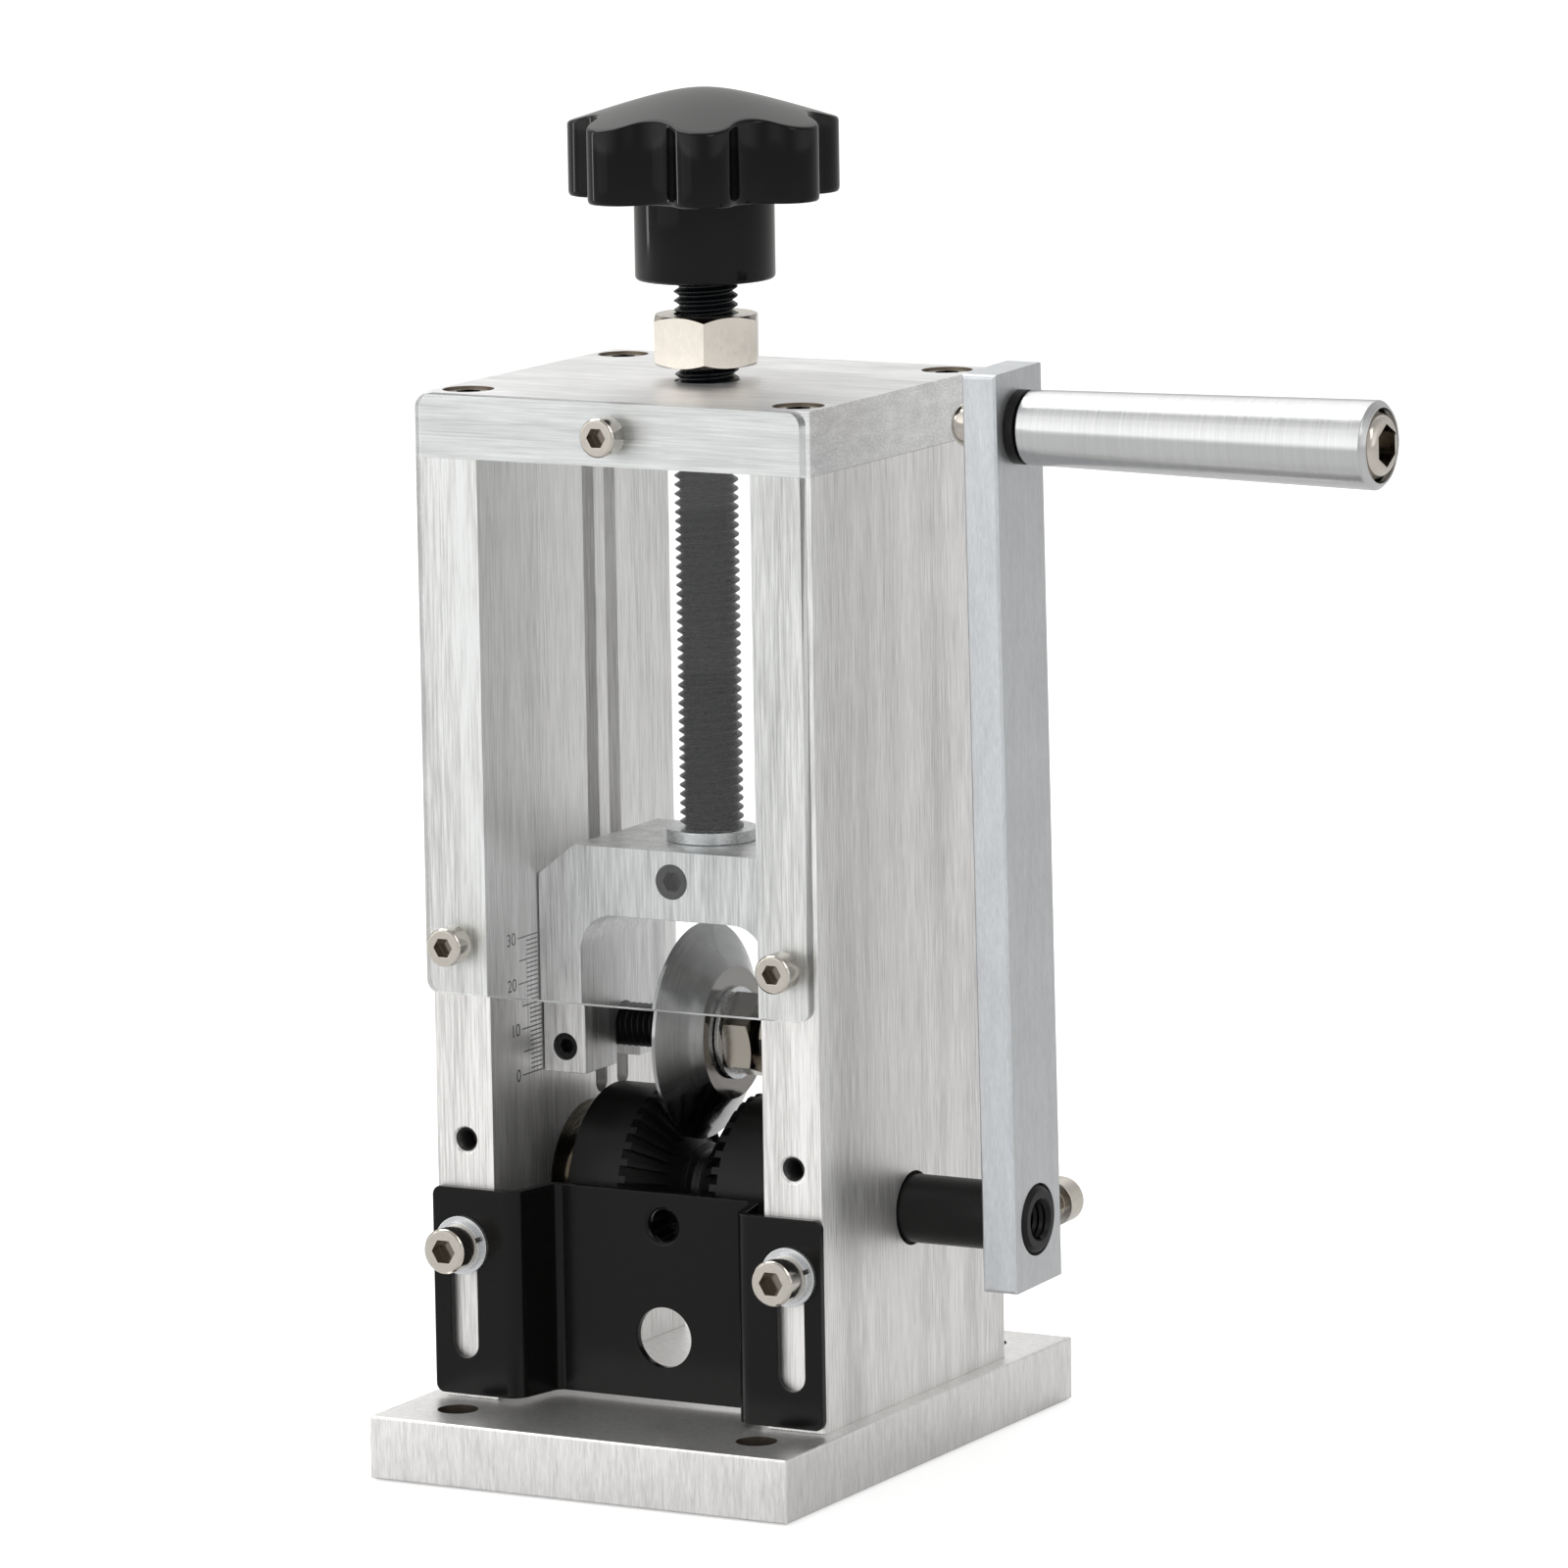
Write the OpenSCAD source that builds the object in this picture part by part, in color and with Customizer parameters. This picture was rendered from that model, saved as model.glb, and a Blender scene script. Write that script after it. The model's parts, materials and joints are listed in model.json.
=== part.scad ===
// Hand crank wire stripper.
// A cable is fed through the hole of the front bracket into the V groove of a toothed
// roller. The crank turns the roller, and a round blade above it, hung in a carrier that
// the star knob raises and lowers, slits the sheath. +X is the crank's side, -Y is the
// feed side, +Z is up. The origin is the centre of the base plate's underside.
// All sizes are in millimetres.

/* [Base plate] */
// Width that the base plate stands out beside each wall
base_side = 4; // [2:0.5:15]
// Depth that the base plate stands out before and behind the walls
base_end = 25; // [21:0.5:45]
// Thickness of the base plate
base_t = 14; // [12:1:20]
// Radius on the base plate's edges
base_edge_r = 0.6; // [0.3:0.1:2]
// Diameter of the four bench bolt holes
base_hole_d = 9; // [7:0.5:10]
// Distance of the bolt holes inward from the walls' outer faces
base_hole_in = 10.5; // [6:0.5:20]
// Distance of the bolt holes before and behind the walls
base_hole_out = 11.5; // [9:0.5:14]

/* [Walls and top plate] */
// Thickness of each side wall
wall_t = 14; // [13:0.5:16]
// Depth of the walls and of the top plate
wall_d = 84; // [80:1:96]
// Height of the walls
wall_h = 207; // [190:1:240]
// Clear width between the walls
inner_w = 67; // [66:0.5:69]
// Thickness of the top plate
top_t = 14; // [12:1:18]
// Distance of the top plate's screws from its front and back
top_screw_in = 8; // [8:0.5:16]
// Distance of the base plate's screws from the walls' front and back
base_screw_in = 14; // [10:0.5:24]
// Width of the guide grooves in the walls
groove_w = 5; // [3:0.1:6]
// Depth of the guide grooves
groove_deep = 3; // [1.5:0.1:3.5]
// Middle of the front guide groove behind the shaft's plane
groove_y = 6; // [4:0.5:7]
// Distance between the two guide grooves of a wall
groove_pitch = 9.5; // [8:0.1:9.8]
// Height of the grooves' lower ends over the base plate
groove_up = 60; // [58:1:66]

/* [Shield] */
// Thickness of the clear shield
shield_t = 3; // [2:0.5:5]
// Distance of the shield's right edge from the right wall's outer face
shield_side = 1; // [0:0.1:3]
// Height of the shield
shield_h = 131; // [110:1:135]
// Corner radius of the shield
shield_r = 3; // [1:0.5:6]
// Height of the lower shield screws over the shield's lower edge
shield_screw_up = 11; // [8:0.5:20]

/* [Feed bracket] */
// Thickness of the bracket's sheet
sheet_t = 2; // [1.5:0.1:2.5]
// Width that each flange stands out beside its wall
bracket_side = 0.5; // [-1:0.1:1]
// Height of the bracket
bracket_h = 46; // [44:1:52]
// Height of the bracket over the base plate
bracket_up = 1; // [0.5:0.1:3]
// Width of each flange
flange_w = 20; // [18:0.5:21]
// Depth of the panel behind the flanges
panel_set = 13; // [10:0.5:14]
// Distance that each bracket side leans inward
side_lean = 3; // [2:0.5:5]
// Middle radius of the sheet's bends
bend_r = 3; // [2:0.1:4]
// Corner radius of the flanges
flange_r = 2; // [0.5:0.1:3]
// Width of the slots in the flanges
slot_w = 6.6; // [6.4:0.1:7.4]
// Travel of the bracket on its slots
slot_travel = 22; // [15:0.5:22]
// Height of the bracket screws over the base plate
bracket_screw_up = 34.4; // [32:0.1:36]
// Diameter of the small feed hole
feed_hole_d = 7; // [5:0.5:8]
// Height of the small feed hole over the bracket's lower edge
feed_hole_up = 38.7; // [34:0.1:39]
// Diameter of the large feed hole
wide_hole_d = 13.4; // [10:0.1:16]
// Height of the large feed hole over the bracket's lower edge
wide_hole_up = 13.9; // [12:0.1:16]
// Place of both feed holes beside the middle
feed_x = 2; // [-2:0.5:4]
// Depth of the lead-in cone of the small feed hole
feed_cone = 0.8; // [0.3:0.1:1.2]

/* [Shaft and bearings] */
// Diameter of the shaft
shaft_d = 15; // [14:0.1:15.6]
// Height of the shaft over the base plate
shaft_up = 41.8; // [38:0.1:46]
// Outer diameter of the bearings
bearing_od = 35; // [32:0.5:38]
// Width of the bearings
bearing_w = 11; // [9:0.5:11]
// Diameter of the shaft's opening in the walls
shaft_opening_d = 16.2; // [16:0.1:17.5]
// Length of the shaft's end beyond the crank arm
shaft_proud = 0.7; // [0.2:0.1:2]
// Tapping diameter of the thread in the shaft's end
drill_tap_d = 8.5; // [6:0.1:9]
// Length of that thread
drill_tap_l = 22; // [10:1:30]

/* [Roller] */
// Outer diameter of the roller
roller_d = 44; // [40:0.5:46]
// Width of the V groove at the rims
vee_w = 21; // [18:0.5:22]
// Diameter at the bottom of the V groove
vee_root_d = 18; // [17.8:0.1:20]
// Width of the flat at the bottom of the V groove
vee_flat = 2; // [1:0.1:3]
// Number of teeth on each side of the V groove
tooth_count = 36; // [24:1:40]
// Width of the slots between the teeth
tooth_slot_w = 2.2; // [1.5:0.1:2.2]
// Depth of the slots between the teeth
tooth_slot_deep = 1.6; // [0.8:0.1:2]
// Turn of the left half's teeth up from the feed side
tooth_turn = 1.6; // [0:0.1:9]
// Outer diameter of the spacers beside the roller
spacer_d = 19; // [18:0.1:19.4]
// Length of the left spacer
spacer_left_l = 7; // [4:0.5:9]
// Length of the right spacer
spacer_right_l = 11; // [8:0.5:13]

/* [Carrier] */
// Depth of the carrier, front to back
carrier_d = 37.5; // [36:0.5:40]
// Height of the carrier
carrier_h = 51; // [49:0.5:56]
// Height of the lowered carrier over the base plate
carrier_up = 69.3; // [69:0.1:74]
// Width of each leg
leg_w = 10.4; // [9.5:0.1:11]
// Height of the arch over the carrier's lower edge
arch_h = 35.8; // [34.5:0.1:36.5]
// Radius in the corners of the arch
arch_r = 8; // [4:0.5:9]
// Width of the chamfers at the top corners
shoulder_w = 9; // [4:0.5:10]
// Height of those chamfers
shoulder_h = 7; // [3:0.5:8]
// Gap between the carrier and the walls
guide_gap = 0.3; // [0.2:0.05:0.5]
// Plane of the carrier's middle behind the shaft's plane
lift_y = -0.75; // [-1:0.05:0]
// Height of the blade's axle over the carrier's lower edge
axle_up = 8.2; // [7.5:0.1:8.8]

/* [Blade] */
// Diameter of the blade
blade_d = 48; // [44:0.5:49]
// Place of the cutting edge to the left of the V groove's middle
edge_left = 0.5; // [0.2:0.1:0.8]
// Width of the land at the cutting edge
edge_land = 0.8; // [0.3:0.1:1]
// Inner diameter of the bevel
bevel_d = 35.8; // [32:0.2:38]
// Width of the bevel across the frame
bevel_w = 4.1; // [3:0.1:4.4]
// Diameter of the blade's hub face
hub_face_d = 29.4; // [26:0.2:31]
// Height of the hub face over the bevel
hub_rise = 2.8; // [2:0.1:3.2]
// Diameter of the axle
axle_d = 10; // [9:0.1:10.2]
// Outer diameter of the bush in the blade
bush_d = 16; // [14:0.1:17]
// Width over the flats of the axle's nuts
axle_nut_af = 17; // [16:0.1:18]
// Height of the axle's nuts
axle_nut_h = 7; // [5:0.1:7.4]
// Diameter of the axle's washers
axle_washer_d = 20.6; // [18:0.1:21]
// Thickness of the axle's washers
axle_washer_t = 1; // [0.8:0.1:1.2]

/* [Adjusting screw and knob] */
// Diameter of the adjusting screw over its thread
rod_d = 14; // [13:0.1:14.4]
// Height of the knob over the top plate, with the carrier lowered
knob_up = 22.05; // [21:0.05:40]
// Diameter of the screw's lower spigot
spigot_d = 10; // [9:0.1:10.4]
// Length of the spigot in the carrier
spigot_l = 12.6; // [10:0.1:13]
// Outer diameter of the thrust collar
collar_d = 20; // [17:0.1:22]
// Thickness of the thrust collar
collar_t = 2.7; // [2:0.1:3.5]
// Width over the flats of the lock nut
lock_nut_af = 22; // [20:0.1:24]
// Height of the lock nut
lock_nut_h = 11; // [8:0.1:12]
// Height of the lock nut over the top plate
lock_nut_up = 3.5; // [1:0.1:8]
// Diameter of the knob over its lobes
knob_d = 60; // [56:0.5:66]
// Diameter of the knob between its lobes
knob_root_d = 47; // [44:0.5:48]
// Radius of the lobes
lobe_r = 8; // [7:0.1:8.6]
// Number of lobes
lobe_count = 7; // [7:1:7]
// Height of the lobes at their rim
lobe_h = 16.5; // [12:0.5:20]
// Height of the knob's dome over the lobes' rim
dome_h = 7; // [4:0.1:9]
// Diameter of the knob's hub
hub_d = 30.5; // [26:0.5:34]
// Length of the knob's hub
hub_h = 18; // [12:0.5:22]

/* [Crank] */
// Thickness of the crank arm
arm_t = 8; // [6:0.5:10]
// Width of the crank arm
arm_w = 22; // [20:0.5:24]
// Length of the crank arm
arm_l = 200; // [180:1:240]
// Distance from the arm's lower end to the shaft
arm_foot = 14.5; // [13:0.1:16]
// Distance from the arm's upper end to the handle's axis
handle_in = 12.5; // [12:0.5:30]
// Gap between the wall and the arm
arm_gap = 22.3; // [15:0.1:30]
// Lean of the arm towards the feed side, in degrees
arm_lean = 1.4; // [0:0.1:3]
// Length of the handle sleeve
handle_l = 83; // [70:1:110]
// Diameter of the sleeve at the arm
handle_d0 = 16.1; // [15:0.1:17]
// Diameter of the sleeve at its outer end
handle_d1 = 19; // [18.6:0.1:22]
// Diameter of the handle bolt
handle_bolt_d = 10; // [8:0.1:10.4]
// Diameter of the handle bolt's head
handle_head_d = 15; // [14:0.1:15.2]
// Height of the handle bolt's head
handle_head_h = 9; // [7:0.1:11]
// Length of the bolt's end inside the arm
handle_bolt_proud = 2.7; // [1:0.1:5]
// Diameter of the handle's washer
handle_washer_d = 16; // [14:0.1:18]
// Thickness of the handle's washer
handle_washer_t = 2.2; // [1.5:0.1:3]
// Stand-off of the clamp screw's head from the arm
clamp_standoff = 3.5; // [1:0.1:6]

/* [Hidden] */
$fn = 48;

// Overrun of every cut past the face that it opens
over = 1;
// Radial clearance of shafts and spigots that turn
run_gap = 0.05;
// End play of pieces that turn between two faces
end_gap = 0.1;
// Clearance of a screw head in its counterbore, on the radius and over the head
sink_gap = 0.5;
// Clearance of a screw's shank in a plain hole, on the radius
shank_gap = 0.3;

// Cap screws: thread, head diameter, head height, key width
m6_d = 6;
m6_head_d = 10;
m6_head_h = 6;
m6_key = 5;
m5_d = 5;
m5_head_d = 8.5;
m5_head_h = 5;
m5_key = 4;
handle_key = 8;
handle_head_edge = 1.2;
// Edge chamfer of a screw's head and of its end
head_edge = 0.5;
// Depth of the key's hole as a share of the head's height
key_share = 0.5;
// Length of thread in the tapped plate or wall
tap_l = 16;
shield_tap_l = 12;
// Spare tapped holes: tapping diameter, depth and the mouth's chamfer
spare_d = 5;
spare_l = 15;
spare_edge = 0.6;
// Height of the spare holes over the base plate
spare_up = 57.3;
// Plain and spring washers under the bracket screws
washer_d = 13;
washer_t = 1.2;
spring_washer_d = 11;
spring_washer_t = 1.3;
spring_cut = 1;

// Heights and planes of the frame
inner_x = inner_w / 2;
wall_mid_x = inner_x + wall_t / 2;
outer_x = inner_x + wall_t;
front_y = -wall_d / 2;
top_screw_dy = wall_d - 2 * top_screw_in;
base_screw_dy = wall_d - 2 * base_screw_in;
plate_z = base_t + wall_h;
top_z = plate_z + top_t;
shaft_z = base_t + shaft_up;
spare_z = base_t + spare_up;
groove_z = base_t + groove_up;
bracket_screw_z = base_t + bracket_screw_up;

// Base plate, from the walls that stand on it
base_w = 2 * (outer_x + base_side);
base_d = wall_d + 2 * base_end;
base_hole_dx = 2 * (outer_x - base_hole_in);
base_hole_dy = wall_d + 2 * base_hole_out;

// Shield, flush with the top and with the left wall's outer face
shield_w = 2 * outer_x - shield_side;
shield_x = -outer_x + shield_w / 2;
shield_z0 = top_z - shield_h;
shield_low_z = shield_z0 + shield_screw_up;
shield_top_z = plate_z + top_t / 2;
shield_front_y = front_y - shield_t;

// Bracket, from its flange's middle plane
bracket_w = 2 * (outer_x + bracket_side);
bracket_z0 = base_t + bracket_up;
flange_y = front_y - sheet_t / 2;
panel_y = flange_y + panel_set;
flange_in_x = bracket_w / 2 - flange_w;
panel_x = flange_in_x - side_lean;
slot_top_z = bracket_screw_z;
slot_low_z = bracket_screw_z - slot_travel;

// Angle by which each bend runs into the straight sheet beside it
lap_deg = 1;

// Bearings: race and shield radii, and how far the shield lies back
race_out_r = bearing_od / 2;
race_lip = 3;
race_in_t = 2.3;
shield_back = 0.4;
race_mid_r = race_out_r - race_lip;
race_in_r = shaft_d / 2 + race_in_t;

// Roller, from the middle of its groove outward
roller_r = roller_d / 2;
rim_w = (inner_w - spacer_left_l - spacer_right_l - vee_w) / 2;
vee_x = (spacer_left_l - spacer_right_l) / 2;
vee_root_r = vee_root_d / 2;
rim_in = vee_w / 2;
rim_out = vee_w / 2 + rim_w;
root_in = vee_flat / 2;
cone_deg = atan2(roller_r - vee_root_r, rim_in - root_in);
grub_d = 6;
grub_key = 3;
grub_turn = 215;

// Crank arm, from the shaft's axis
crank_throw = arm_l - arm_foot - handle_in;
arm_x0 = outer_x + arm_gap;
arm_x1 = arm_x0 + arm_t;
arm_edge = 0.5;
arm_corner_r = 1;
arm_bore_gap = 0.4;
shaft_edge = 1;
sleeve_x0 = arm_x1 + handle_washer_t;
sleeve_x1 = sleeve_x0 + handle_l;
sleeve_edge = 1.2;
sleeve_inner_edge = 0.8;
sleeve_bore_gap = 0.4;
head_sink = 0.6;
handle_head_x = sleeve_x1 - head_sink - handle_head_h;

// Carrier, its axle and its guides
carrier_z0 = base_t + carrier_up;
carrier_z1 = carrier_z0 + carrier_h;
carrier_x = inner_x - guide_gap;
carrier_y0 = lift_y - carrier_d / 2;
carrier_y1 = lift_y + carrier_d / 2;
leg_in_x = carrier_x - leg_w;
axle_z = carrier_z0 + axle_up;
axle_r = axle_d / 2;
axle_end = 1;
set_screw_z = axle_z - axle_r / 2;
set_screw_sink = 0.8;
retainer_d = 7.7;
retainer_up = 44.3;
retainer_z = carrier_z0 + retainer_up;
retainer_nose_d = 3.8;
retainer_sink = 0.3;
retainer_key = 4;
retainer_key_l = 3;
neck_r = 3.4;

// Blade, from its cutting edge
edge_x = vee_x - edge_left;
edge_x0 = edge_x - edge_land;
bevel_x = edge_x + bevel_w;
hub_x = bevel_x + hub_rise;
bush_x0 = edge_x0 - end_gap;
bush_x1 = hub_x + end_gap;
washer_l_x = bush_x0 - end_gap - axle_washer_t;
washer_r_x = bush_x1 + end_gap;
nut_l_x = washer_l_x - axle_nut_h;
nut_r_x = washer_r_x + axle_washer_t;
leg_washer_x = leg_in_x - axle_washer_t;
leg_nut_x = leg_washer_x - axle_nut_h;
// Turn of the nuts' flats, in degrees
nut_turns = [10, 10, 25];

// Adjusting screw and knob
spigot_r = spigot_d / 2;
spigot_z0 = carrier_z1 - spigot_l;
collar_z0 = carrier_z1 + end_gap / 2;
rod_z0 = collar_z0 + collar_t;
hub_z0 = top_z + knob_up;
lobe_z0 = hub_z0 + hub_h;
lobe_z1 = lobe_z0 + lobe_h;
rod_r = rod_d / 2;
rod_in_knob = 26;
rod_edge = 1;
insert_d = 20;
insert_l = 24;
lock_nut_z = top_z + lock_nut_up;
nut_edge_deg = 30;
// Turn of the lock nut and of the knob, in degrees
lock_nut_turn_deg = -63.6;
knob_turn_deg = -61.3;
// Lobe outline: circles for the lobes and for the valleys, touching each other
lobe_c = knob_d / 2 - lobe_r;
knob_root_r = knob_root_d / 2;
half_pitch_deg = 180 / lobe_count;
valley_k = knob_root_r - lobe_r;
valley_c = (lobe_c * lobe_c - valley_k * valley_k)
    / (2 * (lobe_c * cos(half_pitch_deg) - valley_k));
valley_r = valley_c - knob_root_r;
dome_edge_r = 5;
lobe_edge_r = 2;

// Cylinder along X between two planes
module bar_x(r, x0, x1) {
    translate([x0, 0, 0]) rotate([0, 90, 0]) cylinder(r = r, h = x1 - x0);
}

// Solid of revolution about X: points are radius and place along X
module turned_x(points) {
    rotate([0, 90, 0]) rotate_extrude() polygon(points);
}

// Rectangle with round corners, about its middle
module round_rect(a, b, r) {
    square([a - 2 * r, b], center = true);
    square([a, b - 2 * r], center = true);
    for (i = [-1, 1], j = [-1, 1])
        translate([i * (a / 2 - r), j * (b / 2 - r)]) circle(r = r);
}

// Socket head cap screw: the head's underside lies at zero, the shank points down
module cap_screw(d, head_d, head_h, l, key, edge = head_edge) {
    difference() {
        rotate_extrude() polygon([
            [0, -l], [d / 2 - edge, -l], [d / 2, -l + edge], [d / 2, 0],
            [head_d / 2, 0], [head_d / 2, head_h - edge],
            [head_d / 2 - edge, head_h], [0, head_h]
        ]);
        translate([0, 0, head_h * (1 - key_share)])
            cylinder(d = key / cos(30), h = head_h, $fn = 6);
    }
}

// Hexagon nut from zero up, with both faces chamfered and a plain bore
module hex_nut(af, h, bore_r) {
    corner_r = af / 2 / cos(30);
    drop = (corner_r - af / 2) * tan(nut_edge_deg);
    difference() {
        intersection() {
            cylinder(r = corner_r, h = h, $fn = 6);
            rotate_extrude() polygon([
                [0, 0], [af / 2, 0], [corner_r, drop], [corner_r, h - drop],
                [af / 2, h], [0, h]
            ]);
        }
        translate([0, 0, -over]) cylinder(r = bore_r, h = h + 2 * over);
    }
}

// Flat ring from zero up
module ring(d, bore_r, t) {
    difference() {
        cylinder(d = d, h = t);
        translate([0, 0, -over]) cylinder(r = bore_r, h = t + 2 * over);
    }
}

// Turns a piece that points up so that it points to the feed side
module to_front(x, y, z) {
    translate([x, y, z]) rotate([90, 0, 0]) children();
}

// Turns a piece that points up so that it points along X
module to_side(x, y, z) {
    translate([x, y, z]) rotate([0, 90, 0]) children();
}

// Base plate with bench bolt holes and counterbores for the screws from below
module base_plate() {
    color("silver") difference() {
        translate([0, 0, base_t / 2]) intersection() {
            translate([0, 0, -base_t / 2]) linear_extrude(base_t)
                round_rect(base_w, base_d, base_edge_r);
            rotate([90, 0, 0]) translate([0, 0, -base_d / 2]) linear_extrude(base_d)
                round_rect(base_w, base_t, base_edge_r);
            rotate([90, 0, 90]) translate([0, 0, -base_w / 2]) linear_extrude(base_w)
                round_rect(base_d, base_t, base_edge_r);
        }
        for (i = [-1, 1], j = [-1, 1]) {
            translate([i * base_hole_dx / 2, j * base_hole_dy / 2, -over])
                cylinder(d = base_hole_d, h = base_t + 2 * over);
            translate([i * wall_mid_x, j * base_screw_dy / 2, -over]) {
                cylinder(r = m6_head_d / 2 + sink_gap, h = over + m6_head_h + sink_gap);
                cylinder(r = m6_d / 2 + shank_gap, h = base_t + 2 * over);
            }
        }
    }
}

// Right wall: bearing seat, guide grooves and tapped holes
module wall_body() {
    difference() {
        translate([inner_x, front_y, base_t]) cube([wall_t, wall_d, wall_h]);
        translate([0, 0, shaft_z]) bar_x(race_out_r, inner_x - over, inner_x + bearing_w);
        translate([0, 0, shaft_z]) bar_x(shaft_opening_d / 2, inner_x, outer_x + over);
        for (y = [groove_y, groove_y + groove_pitch]) {
            translate([inner_x - over, y - groove_w / 2, groove_z + groove_w / 2])
                cube([over + groove_deep, groove_w, wall_h]);
            translate([0, y, groove_z + groove_w / 2])
                bar_x(groove_w / 2, inner_x - over, inner_x + groove_deep);
        }
        translate([wall_mid_x, front_y, bracket_screw_z]) rotate([-90, 0, 0])
            translate([0, 0, -over]) cylinder(d = m6_d, h = over + tap_l);
        translate([wall_mid_x, front_y, shield_low_z]) rotate([-90, 0, 0])
            translate([0, 0, -over]) cylinder(d = m5_d, h = over + shield_tap_l);
        translate([wall_mid_x, front_y, spare_z]) rotate([-90, 0, 0]) {
            translate([0, 0, -over]) cylinder(d = spare_d, h = over + spare_l);
            rotate_extrude() polygon([
                [0, -over], [spare_d / 2 + spare_edge + over, -over],
                [spare_d / 2, spare_edge], [0, spare_edge]
            ]);
        }
        for (j = [-1, 1]) {
            translate([wall_mid_x, j * top_screw_dy / 2, plate_z - tap_l])
                cylinder(d = m6_d, h = tap_l + over);
            translate([wall_mid_x, j * base_screw_dy / 2, base_t - over])
                cylinder(d = m6_d, h = tap_l + over);
        }
    }
}

module right_wall() {
    color("gainsboro") wall_body();
}

module left_wall() {
    color("gainsboro") mirror([1, 0, 0]) wall_body();
}

// Top plate with sunk screws, the adjusting screw's thread and the shield screw's hole
module top_plate() {
    color("silver") difference() {
        translate([-outer_x, front_y, plate_z]) cube([2 * outer_x, wall_d, top_t]);
        translate([0, lift_y, plate_z - over])
            cylinder(r = rod_r + 2 * run_gap, h = top_t + 2 * over);
        for (i = [-1, 1], j = [-1, 1])
            translate([i * wall_mid_x, j * top_screw_dy / 2, 0]) {
                translate([0, 0, top_z - m6_head_h - sink_gap])
                    cylinder(r = m6_head_d / 2 + sink_gap, h = m6_head_h + sink_gap + over);
                translate([0, 0, plate_z - over])
                    cylinder(r = m6_d / 2 + shank_gap, h = top_t + 2 * over);
            }
        translate([0, front_y, shield_top_z]) rotate([-90, 0, 0])
            translate([0, 0, -over]) cylinder(d = m5_d, h = over + shield_tap_l);
    }
}

module base_screws() {
    color("gray") for (i = [-1, 1], j = [-1, 1])
        translate([i * wall_mid_x, j * base_screw_dy / 2, m6_head_h + sink_gap])
            rotate([180, 0, 0])
                cap_screw(m6_d, m6_head_d, m6_head_h,
                    base_t - m6_head_h - sink_gap + tap_l, m6_key);
}

module top_screws() {
    color("tan") for (i = [-1, 1], j = [-1, 1])
        translate([i * wall_mid_x, j * top_screw_dy / 2, top_z - m6_head_h - sink_gap])
            cap_screw(m6_d, m6_head_d, m6_head_h,
                top_t - m6_head_h - sink_gap + tap_l, m6_key);
}

// Places of the three shield screws
module at_shield_screws() {
    to_front(0, shield_front_y, shield_top_z) children();
    for (i = [-1, 1]) to_front(i * wall_mid_x, shield_front_y, shield_low_z) children();
}

module shield() {
    color([0.8, 0.9, 0.95, 0.4]) difference() {
        to_front(shield_x, front_y, (shield_z0 + top_z) / 2)
            linear_extrude(shield_t) round_rect(shield_w, shield_h, shield_r);
        at_shield_screws() translate([0, 0, -shield_t - over])
            cylinder(r = m5_d / 2 + shank_gap, h = shield_t + 2 * over);
    }
}

module shield_screws() {
    color("tan") at_shield_screws()
        cap_screw(m5_d, m5_head_d, m5_head_h, shield_t + shield_tap_l, m5_key);
}

// Unit vector at an angle
function unit(a) = [cos(a), sin(a)];

// Bend of the sheet at corner v, from heading h0 to heading h1, drawn from above
module bend(v, h0, h1) {
    side = h1 > h0 ? 1 : -1;
    reach = bend_r * tan(abs(h1 - h0) / 2);
    c = v - reach * unit(h0) + side * bend_r * unit(h0 + 90);
    a0 = h0 - side * 90;
    a1 = h1 - side * 90;
    far = 2 * (bend_r + sheet_t);
    intersection() {
        translate(c) difference() {
            circle(r = bend_r + sheet_t / 2);
            circle(r = bend_r - sheet_t / 2);
        }
        polygon([
            c, c + far * unit(a0 - side * lap_deg), c + far * unit((a0 + a1) / 2),
            c + far * unit(a1 + side * lap_deg)
        ]);
    }
}

// Straight run of the sheet between two corners, short of each by a given length
module run_of_sheet(p, q, cut_p, cut_q) {
    d = q - p;
    translate(p) rotate(atan2(d[1], d[0]))
        translate([cut_p, -sheet_t / 2]) square([norm(d) - cut_p - cut_q, sheet_t]);
}

// Half of the bracket's section, from above
module bracket_half() {
    p0 = [bracket_w / 2, flange_y];
    p1 = [flange_in_x, flange_y];
    p2 = [panel_x, panel_y];
    lean = atan2(p2[1] - p1[1], p2[0] - p1[0]);
    reach = bend_r * tan((180 - lean) / 2);
    run_of_sheet(p0, p1, 0, reach);
    bend(p1, 180, lean);
    run_of_sheet(p1, p2, reach, reach);
    bend(p2, lean, 180);
    run_of_sheet(p2, [0, panel_y], reach, 0);
}

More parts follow.
